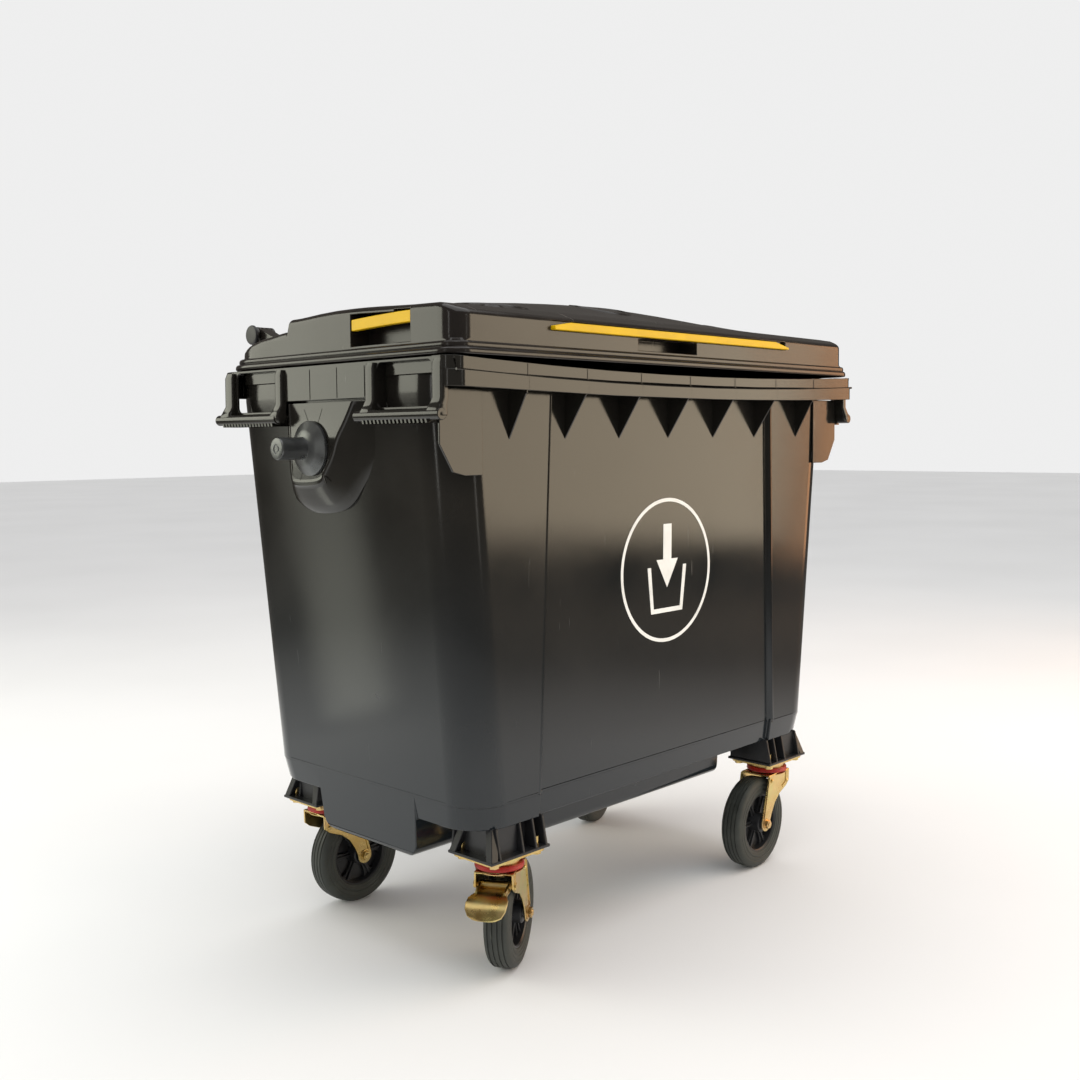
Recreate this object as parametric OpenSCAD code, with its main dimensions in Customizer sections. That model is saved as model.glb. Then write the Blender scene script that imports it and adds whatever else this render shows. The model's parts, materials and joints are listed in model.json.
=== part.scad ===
/* [Container] */
// Half length of the rim fascia
rim_half = 622; // [610:1:640]
// Distance of the front fascia in front of the origin
rim_front = 390; // [388:1:396]
// Height of the rim's top edge at its ends
rim_top = 1097; // [1095:1:1100]
// How far the front fascia dips at its middle
rim_dip = 15; // [5:1:18]
// Wall thickness of the mouldings
wall = 5; // [4:0.5:6]
// Depth of the recessed front panel
panel_recess = 9; // [6:1:10]
// Radius of the tub's vertical corners
tub_corner = 75; // [60:5:80]
// Number of gussets under the front fascia
gussets = 7; // [5:2:9]
// Spacing of the gussets
gusset_pitch = 150; // [120:5:150]
// Radius of the round sticker
label_r = 143; // [100:1:150]

/* [Lid] */
// Height of the lid's crown
lid_top = 1238; // [1230:1:1250]
// Height of the lid's front edge above the floor
lid_edge = 1180; // [1178:1:1184]
// Height of the hinge axis
hinge_z = 1183; // [1180:1:1186]
// Distance of the hinge axis behind the origin
hinge_y = 370; // [368:1:374]

/* [Trunnions] */
// Radius of the lifting pin
trunnion_r = 20; // [18:1:22]
// Overall length over both lifting pins
trunnion_span = 1372; // [1360:1:1380]
// Height of the lifting pins
trunnion_z = 950; // [945:1:955]

/* [Castors] */
// Wheel diameter
wheel_d = 200; // [196:2:200]
// Wheel width
wheel_w = 48; // [44:1:50]
// Castor height from the floor to the top of its plate
castor_h = 235; // [235:1:236]
// Distance from the king pin to the axle
castor_trail = 62; // [55:1:65]
// Half distance between castors along the length
castor_x = 428; // [424:1:432]
// Distance of the front castors in front of the origin
castor_front = 283; // [280:1:285]
// Distance of the rear castors behind the origin
castor_rear = 218; // [216:1:222]

/* [Hidden] */
$fn = 64;

// Finishes
moulding = "#2c2f31";
black = "#1c1c1d";
yellow = "#f3c600";
zinc = "#b9a25a";
rubber = "#3a3c39";
red = "#c23a2c";
dark_metal = "#4b4d50";

// Tub: heights of its lower edge, crease, shoulder and top
z_edge = 289;
z_crease = 335;
z_shoulder = 1040;
z_tub = 1074;
slab = 0.1;

// Tub: half length, front and rear at the edge, crease and shoulder
edge_x = 523;
crease_x = 532;
shoulder_x = 596;
edge_front = 326;
crease_front = 333;
shoulder_front = 342;
edge_rear = 268;
crease_rear = 275;
shoulder_rear = 283;
panel_top_x = 340;
panel_bottom_x = 370;

// Tub: height where the walls meet the floor, and where the ends meet the long walls
wall_low = z_crease + 5;
end_cut = crease_x - tub_corner;

// Stepped floor
floor_mid = -30;
belly_half = 138;
belly_bottom = 212;
keel_x = 285;
keel_half = 218;
keel_bottom = 220;

// Drain
drain_z = 255;
drain_y = floor_mid + keel_half;

// Rim
rim_bottom = 1048;
rim_step = 1075;
rim_flange = 3;
ear_bottom = 904;
flange_rear = -shoulder_front + panel_recess + wall;
frame_x = 617;
bar_x = 629;
bar_r = 10;
bar_z = 1004;

// Handle windows
front_window = [-334, -196];
rear_window = [93, 227];
window_z = [1018, 1092];

// Lid
lid_gap = 2;
lid_bead = 22;
lid_half = 618;
lid_front = 386;
lid_rear = 300;
deck_half = 602;
step_y = 78;
rear_deck_z = 1152;
pocket_x = 560;
pocket_y = [-266, -108];
strip_front_x = [-381, 353];
finger_pocket_x = [-145, 35];
lid_low = rim_top + lid_gap;
lid_bead_top = lid_low + lid_bead;
pocket_z = [lid_bead_top + 4, lid_edge - 3];
strip_z = [lid_edge - 31, lid_edge - 17];

// Hinges
hinge_x = 470;
hinge_rib = 6;
knuckle_r = 17;
hinge_pin_r = 7;
hinge_head_r = 20;
knuckle_gap = 0.6;
hinge_in = 446;
hinge_out = 478;

// Castor heights and radii
axle_z = wheel_d / 2;
plate_t = 5;
seal_low = 207;
seal_h = 10;
seal_r = 45;
race_r = 38;
fork_top = 206;
fork_half = 32;
fork_t = 4;
axle_r = 6;
bush_r = 11;
hub_r = 20;
run_gap = 0.05;
plate_x = 67.5;
plate_y = 52.5;
bolt_x = 52.5;
bolt_y = 40;
bolt_r = 5;
rim_r = 64;
spoke_holes = 6;
brake_x = -27;
brake_z = 180;
brake_pin_r = 4;

// Castors: place, trail direction in degrees from +X, whether braked
fl = [[-castor_x, -castor_front], 30];
fr = [[castor_x, -castor_front], 183];
rl = [[-castor_x, castor_rear], 0];
rr = [[castor_x, castor_rear], 200];
castors = [fl, fr, rl, rr];

// Points of an arc
function arc(x, y, r, from, to, n = 6) =
    [for (i = [0:n]) let (a = from + (to - from) * i / n) [x + r * cos(a), y + r * sin(a)]];

// Rounded rectangle outline from its two corners
function round_box(x0, y0, x1, y1, r, n = 6) = concat(
    arc(x1 - r, y0 + r, r, -90, 0, n), arc(x1 - r, y1 - r, r, 0, 90, n),
    arc(x0 + r, y1 - r, r, 90, 180, n), arc(x0 + r, y0 + r, r, 180, 270, n));

// Outline whose front and rear corners differ
function plan(half, front, rear, rf, rb, n = 6) = concat(
    arc(half - rf, -front + rf, rf, -90, 0, n), arc(half - rb, rear - rb, rb, 0, 90, n),
    arc(-half + rb, rear - rb, rb, 90, 180, n), arc(-half + rf, -front + rf, rf, 180, 270, n));

// Linear interpolation between crease and shoulder
function lift(z, low, high) = low + (high - low) * (z - z_crease) / (z_shoulder - z_crease);
function front_at(z) = -lift(min(z, z_shoulder), crease_front, shoulder_front);
function panel_at(z) = front_at(z) + panel_recess;

// Drop of the fascia's edges at a place along its length
function dip(x) = rim_dip * (1 - pow(x / rim_half, 2));

// Extrusion along X of an outline drawn in Y and Z
module along_x(from, to) {
    translate([from, 0, 0])
        rotate([90, 0, 90])
            linear_extrude(to - from) children();
}

// Extrusion along Y of an outline drawn in X and Z
module along_y(from, to) {
    translate([0, to, 0])
        rotate([90, 0, 0])
            linear_extrude(to - from) children();
}

module tub_slab(z, half, front, rear, inset) {
    translate([0, 0, z])
        linear_extrude(slab)
            polygon(plan(half - inset, front - inset, rear - inset, tub_corner - inset, tub_corner - inset));
}

// Drafted block that bounds the tub, inset by a wall where it is the hollow
module tub_block(inset) {
    hull() {
        tub_slab(z_crease, crease_x, crease_front, crease_rear, inset);
        tub_slab(z_shoulder - slab, shoulder_x, shoulder_front, shoulder_rear, inset);
    }
    hull() {
        tub_slab(z_edge + inset, edge_x, edge_front, edge_rear, inset);
        tub_slab(z_crease, crease_x, crease_front, crease_rear, inset);
    }
    translate([0, 0, z_shoulder - slab])
        linear_extrude(z_tub - z_shoulder + slab + inset)
            polygon(plan(shoulder_x - inset, shoulder_front - inset, shoulder_rear - inset,
                tub_corner - inset, tub_corner - inset));
}

// Space in front of the recessed panel
module panel_space(inset) {
    depth = panel_recess + inset;
    intersection() {
        along_y(-rim_front - 50, 0)
            polygon([[-panel_bottom_x - inset, z_edge - 30], [panel_bottom_x + inset, z_edge - 30],
                [panel_top_x + inset, z_tub + 30], [-panel_top_x - inset, z_tub + 30]]);
        along_x(-rim_half, rim_half)
            polygon([[-edge_front + depth, z_edge - 30], [-edge_front + depth, z_edge],
                [-crease_front + depth, z_crease], [-shoulder_front + depth, z_shoulder],
                [-shoulder_front + depth, z_tub + 30], [-rim_front - 50, z_tub + 30],
                [-rim_front - 50, z_edge - 30]]);
    }
}

// Belly along the length and keel across it
module floor_steps(inset) {
    intersection() {
        along_x(-rim_half, rim_half)
            polygon(concat([[floor_mid + belly_half + 6 - inset, wall_low],
                [floor_mid - belly_half - 6 + inset, wall_low]],
                arc(floor_mid - belly_half + 34, belly_bottom + 34, 34 - inset, 180, 270),
                arc(floor_mid + belly_half - 34, belly_bottom + 34, 34 - inset, 270, 360)));
        along_y(-rim_front, rim_front)
            polygon(concat([[crease_x - inset, wall_low], [-crease_x + inset, wall_low]],
                arc(-crease_x + 24, belly_bottom + 14, 14 - inset, 180, 270),
                arc(crease_x - 24, belly_bottom + 14, 14 - inset, 270, 360)));
    }
    along_x(-keel_x + inset, keel_x - inset)
        polygon(concat([[floor_mid + keel_half - inset, z_edge + 10],
            [floor_mid - keel_half - 4 + inset, z_edge + 10]],
            arc(floor_mid - keel_half + 20, keel_bottom + 20, 20 - inset, 180, 270),
            arc(floor_mid + keel_half - 20, keel_bottom + 20, 20 - inset, 270, 360)));
}

module tub_outer() {
    difference() {
        tub_block(0);
        panel_space(0);
    }
    floor_steps(0);
}

module tub_shell() {
    difference() {
        tub_outer();
        difference() {
            tub_block(wall);
            panel_space(wall);
        }
        floor_steps(wall);
        drain_hole();
    }
}

// The tub between two corners of a box
module tub_between(low, high) {
    color(moulding)
        intersection() {
            tub_shell();
            translate(low)
                cube(high - low);
        }
}

module tub_front() {
    tub_between([-end_cut, -rim_front, wall_low], [end_cut, 0, rim_top]);
}

module tub_rear() {
    tub_between([-end_cut, 0, wall_low], [end_cut, rim_front, rim_top]);
}

module tub_end_right() {
    tub_between([end_cut, -rim_front, wall_low], [rim_half, rim_front, rim_top]);
}

module tub_end_left() {
    tub_between([-rim_half, -rim_front, wall_low], [-end_cut, rim_front, rim_top]);
}

module tub_floor() {
    tub_between([-rim_half, -rim_front, 0], [rim_half, rim_front, wall_low]);
}

// Band of the front fascia between two heights, following its dip
module fascia_band(low, high, front, thick) {
    n = 16;
    step = 2 * rim_half / n;
    intersection() {
        translate([0, 0, low - 40])
            linear_extrude(high - low + 60)
                difference() {
                    polygon(plan(rim_half, front, 200, 28, 28));
                    polygon(plan(rim_half - thick, front - thick, 260, 28 - thick, 28 - thick));
                }
        along_y(-rim_front - 5, -shoulder_front + 2)
            polygon(concat([for (i = [0:n]) let (x = -rim_half + i * step) [x, low - dip(x) * 0.65]],
                [for (i = [n:-1:0]) let (x = -rim_half + i * step) [x, high - dip(x)]]));
    }
}

module front_rim() {
    color(moulding) {
        fascia_band(rim_bottom, rim_step, rim_front, wall);
        fascia_band(rim_step - 1, rim_top, rim_front - rim_flange, wall);
        front_flange();
    }
}

module front_gussets() {
    color(moulding)
        for (i = [0:gussets - 1])
            gusset((i - (gussets - 1) / 2) * gusset_pitch);
}

module front_ears() {
    color(moulding)
        for (s = [-1, 1])
            ear(s);
}

// Plan of the tub's top, recessed at the front panel
module top_plan(inset) {
    x = panel_top_x + inset;
    difference() {
        polygon(plan(shoulder_x - inset, shoulder_front - inset, shoulder_rear - inset,
            tub_corner - inset, tub_corner - inset));
        translate([-x, -rim_front])
            square([2 * x, rim_front - shoulder_front + panel_recess + inset]);
    }
}

// Top flange and the band that joins it to the tub
module front_flange() {
    n = 16;
    step = 2 * (frame_x - wall) / n;
    xs = [for (i = [0:n]) -frame_x + wall + i * step];
    along_y(-rim_front + rim_flange + wall, flange_rear)
        polygon(concat([for (x = xs) [x, rim_top - wall - dip(x)]],
            [for (i = [n:-1:0]) [xs[i], rim_top - dip(xs[i])]]));
    intersection() {
        translate([0, 0, z_tub])
            linear_extrude(rim_top - z_tub)
                difference() {
                    top_plan(0);
                    top_plan(wall);
                }
        along_y(-rim_front, -shoulder_front + tub_corner)
            polygon(concat([[xs[0], z_tub], [xs[n], z_tub]],
                [for (i = [n:-1:0]) [xs[i], rim_top - wall + 0.5 - dip(xs[i])]]));
    }
}

// Triangular stiffener between the wall and the fascia
module gusset(x) {
    tip = 963;
    top = rim_bottom - 6;
    shift = abs(x) < panel_top_x ? panel_recess : 0;
    along_x(x - 1.5, x + 1.5)
        polygon([[front_at(tip) + shift, tip], [front_at(top) + shift, top],
            [front_at(top) + shift, rim_bottom + 10], [-rim_front + wall, rim_bottom + 10],
            [-rim_front + wall, rim_bottom - 8], [-rim_front + wall + 3, rim_bottom - 10]]);
}

// Flat ear beside each front corner
module ear(side) {
    inner = shoulder_x - tub_corner - 4;
    top = rim_bottom - 2;
    outline = [[inner, ear_bottom], [inner + 40, ear_bottom], [inner + 66, ear_bottom + 6],
        [frame_x - wall, 956], [frame_x - wall, top], [inner, top]];
    along_y(-shoulder_front - 4, -shoulder_front)
        polygon([for (p = outline) [side * p[0], p[1]]]);
}

// Rear fascia and flange
module rear_rim() {
    color(moulding) {
        intersection() {
            translate([0, 0, rim_bottom])
                linear_extrude(rim_top - rim_bottom)
                    difference() {
                        polygon(plan(frame_x, 200, lid_rear + 4, 28, 60));
                        polygon(plan(frame_x - wall, 200, lid_rear + 4 - wall, 28, 60 - wall));
                    }
            translate([-rim_half, 240, rim_bottom])
                cube([2 * rim_half, 100, 60]);
        }
        difference() {
            translate([0, 0, rim_top - wall])
                linear_extrude(wall)
                    difference() {
                        polygon(plan(frame_x - wall, 200, lid_rear + 4 - wall, 28, 60 - wall));
                        polygon(plan(shoulder_x - wall, shoulder_front, shoulder_rear - wall,
                            tub_corner, tub_corner - wall));
                    }
            translate([-rim_half, -rim_front, rim_top - 20])
                cube([2 * rim_half, rim_front + 240, 40]);
        }
        intersection() {
            translate([0, 0, z_tub])
                linear_extrude(rim_top - z_tub - wall)
                    difference() {
                        polygon(plan(shoulder_x, shoulder_front, shoulder_rear, tub_corner, tub_corner));
                        polygon(plan(shoulder_x - wall, shoulder_front - wall, shoulder_rear - wall,
                            tub_corner - wall, tub_corner - wall));
                    }
            translate([-rim_half, 240, z_tub])
                cube([2 * rim_half, 100, 60]);
        }
    }
}

module hinge_posts() {
    color(moulding)
        difference() {
            for (s = [-1, 1])
                hinge_post(s);
            rear_rim();
        }
}

// One hinge post: two ribs with the pin's bores, joined by a web
module hinge_post(side) {
    rib_low = 831;
    difference() {
        union() {
            for (x = [hinge_in - hinge_rib, hinge_out])
                hinge_rib_plate(side * (x + hinge_rib / 2));
            translate([side > 0 ? hinge_in : -hinge_out, shoulder_rear + 22, rim_bottom])
                cube([hinge_out - hinge_in, wall, 50]);
        }
        translate([side * hinge_x, hinge_y, hinge_z])
            rotate([0, 90, 0])
                cylinder(r = hinge_pin_r + run_gap, h = 120, center = true);
        along_x(-rim_half, rim_half)
            polygon([[0, rib_low - 5], [rear_at(rib_low - 5), rib_low - 5],
                [rear_at(z_shoulder), z_shoulder], [shoulder_rear, z_tub],
                [shoulder_rear, rim_top - wall + 1], [0, rim_top]]);
    }
}

function rear_at(z) = lift(z, crease_rear, shoulder_rear);

module hinge_rib_plate(x) {
    along_x(x - hinge_rib / 2, x + hinge_rib / 2)
        polygon([[shoulder_rear - 8, 831], [shoulder_rear + 14, 838], [332, 870], [334, 1105], [344, 1135],
            [hinge_y + 14, hinge_z - 14], [hinge_y, hinge_z], [hinge_y - 16, hinge_z - 6],
            [lid_rear + 10, 1118], [lid_rear + 4, rim_top], [shoulder_rear - 8, rim_top - wall]]);
    translate([x, hinge_y, hinge_z])
        rotate([0, 90, 0])
            cylinder(r = knuckle_r, h = hinge_rib, center = true);
}

// End frame at the right; the left one is its mirror
module end_frame() {
    color(moulding) {
        along_x(frame_x - wall, frame_x)
            difference() {
                polygon([[-shoulder_front + 2, bar_z + 4], [front_window[1] + 4, bar_z + 4],
                    [front_window[1] + 4, 1035], [rear_window[0] - 4, 1035], [rear_window[0] - 4, bar_z + 4],
                    [240, bar_z + 4], [240, rim_top], [-shoulder_front + 2, rim_top]]);
                for (w = [front_window, rear_window])
                    polygon(round_box(w[0], window_z[0], w[1], window_z[1], 10));
            }
        end_flange();
        for (y = [front_window[1], rear_window[0] - 4])
            web(y);
        grip_bar(-372, front_window[1] + 40, -shoulder_front, front_window[1] + 12);
        grip_bar(rear_window[0] - 18, 272, rear_window[0] + 2, 258);
    }
}

// Flange between the tub's top and the outer panel
module end_flange() {
    difference() {
        translate([shoulder_x - tub_corner, flange_rear, rim_top - wall])
            cube([frame_x - wall - shoulder_x + tub_corner, 240 - flange_rear, wall]);
        translate([0, 0, rim_top - 20])
            linear_extrude(40)
                polygon(plan(shoulder_x - wall, shoulder_front - wall, shoulder_rear - wall,
                    tub_corner - wall, tub_corner - wall));
    }
    intersection() {
        translate([0, 0, z_tub])
            linear_extrude(rim_top - wall - z_tub)
                difference() {
                    polygon(plan(shoulder_x, shoulder_front, shoulder_rear, tub_corner, tub_corner));
                    polygon(plan(shoulder_x - wall, shoulder_front - wall, shoulder_rear - wall,
                        tub_corner - wall, tub_corner - wall));
                }
        translate([0, -shoulder_front + tub_corner, z_tub])
            cube([rim_half, shoulder_front - tub_corner + 240, 60]);
    }
}

module web(y) {
    translate([shoulder_x, y, bar_z + 4])
        cube([frame_x - wall - shoulder_x, 4, rim_top - wall - bar_z - 4]);
}

// Rolled grip below a handle window, with the shelf that joins it to the tub
module grip_bar(y0, y1, shelf_from, shelf_to) {
    translate([bar_x, y0, bar_z])
        rotate([-90, 0, 0])
            cylinder(r = bar_r, h = y1 - y0);
    difference() {
        translate([shoulder_x - 40, shelf_from, bar_z - 1])
            cube([bar_x - shoulder_x + 40, shelf_to - shelf_from, wall]);
        tub_block(0);
    }
}

// Shield-shaped bracket that carries the lifting pin, at the right
module bracket() {
    face = [[-126, 1031], [-100, 993], [-74, 963], [-62, 932], [-36, 902], [-28, 886], [52, 872],
        [66, 886], [70, 1031]];
    root = [[-188, 1031], [-172, 984], [-156, 932], [-115, 885], [-79, 846], [-26, 832], [50, 832],
        [105, 867], [110, 1031]];
    cavity = [[-106, 1023], [-88, 992], [-64, 960], [-52, 930], [-27, 900], [-20, 892], [48, 881],
        [57, 890], [62, 1023]];
    color(moulding)
        difference() {
            hull() {
                along_x(shoulder_x + 15, shoulder_x + 16)
                    polygon(face);
                along_x(shoulder_x - 22, shoulder_x - 21)
                    polygon(root);
            }
            tub_block(0);
            along_x(shoulder_x - 60, shoulder_x + 9)
                polygon(cavity);
            translate([0, 0, trunnion_z])
                rotate([0, 90, 0])
                    cylinder(r = 10.1, h = rim_half + 50);
        }
}

module bracket_right() {
    bracket();
}

module bracket_left() {
    mirror([1, 0, 0])
        bracket();
}

module end_frame_right() {
    end_frame();
}

module end_frame_left() {
    mirror([1, 0, 0])
        end_frame();
}

// Ribbed mount over each castor plate
module castor_mounts() {
    color(black)
        for (c = castors)
            castor_mount(c[0]);
}

module castor_mount(at) {
    difference() {
        translate([at[0] - plate_x - 6, at[1] - plate_y + 10, castor_h])
            cube([2 * plate_x + 18, 2 * plate_y - 4, z_edge - castor_h]);
        for (i = [-2:1:1])
            translate([at[0] + i * 30 + 4, at[1] - plate_y, castor_h + 6])
                cube([22, 26, 60]);
        for (i = [-2:1:1])
            translate([at[0] + i * 30 + 4, at[1] + plate_y - 22, castor_h + 6])
                cube([22, 40, 60]);
        floor_steps(0);
        for (sx = [-1, 1], sy = [-1, 1])
            translate([at[0] + sx * bolt_x, at[1] + sy * bolt_y, castor_h - 1])
                cylinder(r = bolt_r + 0.1, h = 30);
    }
}

// Lifting pin with a conical flange, at the right
module trunnion() {
    face = shoulder_x + 16;
    tip = trunnion_span / 2;
    color(dark_metal)
        translate([0, 0, trunnion_z])
            rotate([90, 0, 90])
                rotate_extrude()
                    polygon(concat([[0, shoulder_x - 4], [10, shoulder_x - 4], [10, face], [49, face],
                        [49, face + 3], [30, face + 13], [trunnion_r, face + 14]],
                        arc(trunnion_r - 5, tip - 5, 5, 0, 90, 4), [[0, tip]]));
}

module trunnion_right() {
    trunnion();
}

module trunnion_left() {
    mirror([1, 0, 0])
        trunnion();
}

// Nuts on the inner ends of the lifting pins
module trunnion_nuts() {
    color(zinc)
        for (s = [-1, 1])
            translate([s * (shoulder_x + 2), 0, trunnion_z])
                rotate([0, 90, 0])
                    difference() {
                        cylinder(r = 17, h = 13, center = true, $fn = 6);
                        cylinder(r = 10.02, h = 20, center = true);
                    }
}

// Sticker: a ring round an open container with an arrow into it
module round_sticker() {
    height = 702;
    slope = atan((shoulder_front - crease_front) / (z_shoulder - z_crease));
    color("white")
        translate([0, panel_at(height) - 0.05, height])
            rotate([90 + slope, 0, 0])
                linear_extrude(0.6) {
                    difference() {
                        circle(label_r, $fn = 96);
                        circle(label_r - 7, $fn = 96);
                    }
                    difference() {
                        polygon([[-62, 8], [-50, -84], [50, -84], [62, 8]]);
                        polygon([[-53, 20], [-42, -75], [42, -75], [53, 20]]);
                    }
                    polygon([[-13, 92], [13, 92], [13, 22], [34, 22], [0, -34], [-34, 22], [-13, 22]]);
                }
}

module drain_hole() {
    translate([0, drain_y - 10, drain_z])
        rotate([-90, 0, 0])
            cylinder(r = 18, h = 20);
}

module drain_plug() {
    color(black)
        translate([0, drain_y, drain_z])
            rotate([-90, 0, 0]) {
                translate([0, 0, -9])
                    cylinder(r = 17.5, h = 11);
                translate([0, 0, 2])
                    cylinder(r = 27, h = 5);
                translate([-22, -4, 7])
                    cube([44, 8, 10]);
            }
}

module drain_seal() {
    color(red)
        translate([0, drain_y, drain_z])
            rotate([-90, 0, 0])
                difference() {
                    cylinder(r = 25, h = 2);
                    translate([0, 0, -1])
                        cylinder(r = 18, h = 4);
                }
}

module lid_outline(half, front, rear, rf, rb) {
    polygon(plan(half, front, rear, rf, rb));
}

// Lid block, inset by a wall where it is the hollow
module lid_block(inset) {
    drop = inset > 0 ? 10 : 0;
    translate([0, 0, lid_low - drop])
        linear_extrude(lid_bead - inset + drop)
            lid_outline(lid_half - inset, lid_front - inset, lid_rear - inset, 40 - inset, 100 - inset);
    intersection() {
        translate([0, 0, lid_low])
            linear_extrude(lid_top - lid_low)
                lid_outline(deck_half - inset, lid_front - 10 - inset, lid_rear - 15 - inset,
                    40 - inset, 90 - inset);
        along_x(-deck_half, deck_half)
            polygon([[-lid_front, lid_low], [-lid_front, lid_edge - 10 - inset],
                [-lid_front + 22, lid_edge - inset], [-95, lid_edge + 10 - inset],
                [20, lid_edge + 8 - inset], [step_y - 4 - inset, lid_edge + 3 - inset],
                [step_y + 2 - inset, 1166 - inset], [222 - inset, rear_deck_z - inset],
                [262 - inset, 1138 - inset], [lid_rear - 15 - inset, lid_low]]);
    }
    hull() {
        dome_slab(lid_edge - 4, deck_half - 12, lid_front - 24, step_y - 14, inset);
        dome_slab((lid_edge + lid_top) / 2 + 13, 400, 260, 55, inset);
        dome_slab(lid_top - slab, 160, 160, 30, inset);
    }
}

module dome_slab(z, half, front, rear, inset) {
    translate([0, 0, z - inset])
        linear_extrude(slab)
            polygon(plan(half - inset, front - inset, rear - inset, 40, 40, 5));
}

// Hand pockets in both ends and the middle of the front
module lid_pockets(grow) {
    for (s = [-1, 1])
        translate([s > 0 ? pocket_x - grow : -lid_half - 5, pocket_y[0] - grow, pocket_z[0] - grow])
            cube([lid_half + 5 - pocket_x + grow, pocket_y[1] - pocket_y[0] + 2 * grow,
                pocket_z[1] - pocket_z[0] + 2 * grow]);
    translate([strip_front_x[0] - grow, -lid_front - 5, pocket_z[0] - grow])
        cube([strip_front_x[1] - strip_front_x[0] + 2 * grow, 21 + grow,
            strip_z[1] - pocket_z[0] + 2 * grow]);
    translate([finger_pocket_x[0] - grow, -lid_front - 5, pocket_z[0] - grow])
        cube([finger_pocket_x[1] - finger_pocket_x[0] + 2 * grow, 60 + grow,
            strip_z[0] - pocket_z[0] + 2 * grow]);
}

module lid_shell() {
    color(moulding) {
        difference() {
            lid_block(0);
            lid_pockets(0);
            difference() {
                lid_block(wall);
                lid_pockets(wall);
            }
        }
        for (s = [-1, 1])
            hinge_arm(s);
    }
}

// Lid arm that ends in the hinge knuckle
module hinge_arm(side) {
    from = side * (side > 0 ? hinge_in + knuckle_gap : hinge_out - knuckle_gap);
    difference() {
        union() {
            along_x(from, from + hinge_out - hinge_in - 2 * knuckle_gap)
                polygon([[lid_rear - 62, 1142], [lid_rear - 38, 1132], [lid_rear - 17, 1108],
                    [lid_rear - 3, lid_bead_top - 3], [lid_rear + 8, 1134],
                    [hinge_y - 4, hinge_z - knuckle_r + 1], [hinge_y, hinge_z],
                    [hinge_y - 6, hinge_z + knuckle_r - 2], [lid_rear - 40, 1162], [lid_rear - 62, 1152]]);
            translate([from, hinge_y, hinge_z])
                rotate([0, 90, 0])
                    cylinder(r = knuckle_r, h = hinge_out - hinge_in - 2 * knuckle_gap);
        }
        translate([from - 5, hinge_y, hinge_z])
            rotate([0, 90, 0])
                cylinder(r = hinge_pin_r + run_gap, h = 60);
        lid_block(wall);
    }
}

// Yellow grips
module grip_strip_front() {
    x = strip_front_x;
    color(yellow)
        along_y(-lid_front, -lid_front + 16)
            polygon([[x[0] + 0.3, strip_z[0]], [x[1] - 0.3, strip_z[0]], [x[1] - 0.3, strip_z[0] + 4],
                [x[1] - 50, strip_z[1] - 0.2], [x[0] + 42, strip_z[1] - 0.2],
                [x[0] + 0.3, strip_z[0] + 7]]);
}

module end_strip() {
    y = pocket_y;
    top = pocket_z[1] - 0.2;
    color(yellow)
        along_x(deck_half - 12, deck_half - 1)
            polygon([[y[0] + 0.2, top - 20], [y[1] - 0.2, top - 25], [y[1] - 0.2, top - 4],
                [(y[0] + y[1]) / 2, top], [y[0] + 0.2, top]]);
}

module grip_strip_right() {
    end_strip();
}

module grip_strip_left() {
    mirror([1, 0, 0])
        end_strip();
}

// Hinge pin with a round head outside the outer rib
module hinge_pin() {
    translate([0, hinge_y, hinge_z])
        rotate([0, 90, 0])
            color(black) {
                translate([0, 0, hinge_in - hinge_rib - 6])
                    cylinder(r = hinge_pin_r, h = hinge_out - hinge_in + 2 * hinge_rib + 8);
                translate([0, 0, hinge_out + hinge_rib + 0.3])
                    cylinder(r = hinge_head_r, h = 7);
                translate([0, 0, hinge_in - hinge_rib - 6.3])
                    cylinder(r = hinge_pin_r + 3, h = 6);
            }
}

module hinge_pin_right() {
    hinge_pin();
}

module hinge_pin_left() {
    mirror([1, 0, 0])
        hinge_pin();
}

// Castor plate bolts
module castor_bolts() {
    color(zinc)
        for (c = castors, sx = [-1, 1], sy = [-1, 1])
            translate([c[0][0] + sx * bolt_x, c[0][1] + sy * bolt_y, castor_h - plate_t]) {
                translate([0, 0, -6])
                    cylinder(r = 9, h = 6, $fn = 6);
                cylinder(r = bolt_r, h = 26);
            }
}

// Places a castor's turning parts, trail along the local X axis
module at_castor(c) {
    translate([c[0][0], c[0][1], 0])
        rotate([0, 0, c[1]])
            children();
}

module top_plate(c) {
    color(zinc)
        translate([c[0][0], c[0][1], castor_h - plate_t])
            difference() {
                union() {
                    linear_extrude(plate_t)
                        polygon(round_box(-plate_x, -plate_y, plate_x, plate_y, 12, 4));
                    translate([0, 0, -18])
                        cylinder(r = race_r, h = 18);
                }
                translate([0, 0, -20])
                    cylinder(r = 8.02, h = 30);
                for (sx = [-1, 1], sy = [-1, 1])
                    translate([sx * bolt_x, sy * bolt_y, -1])
                        cylinder(r = bolt_r + 0.5, h = 10);
            }
}

module king_pins() {
    color(zinc)
        for (c = castors)
            translate([c[0][0], c[0][1], fork_top - 18]) {
                cylinder(r = 8, h = castor_h - fork_top + 17);
                cylinder(r = 13, h = 13.7);
            }
}

module seal_rings() {
    color(red)
        for (c = castors)
            translate([c[0][0], c[0][1], seal_low + 0.3])
                difference() {
                    cylinder(r = seal_r, h = seal_h);
                    translate([0, 0, -1])
                        cylinder(r = race_r + 0.1, h = seal_h + 2);
                }
}

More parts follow.
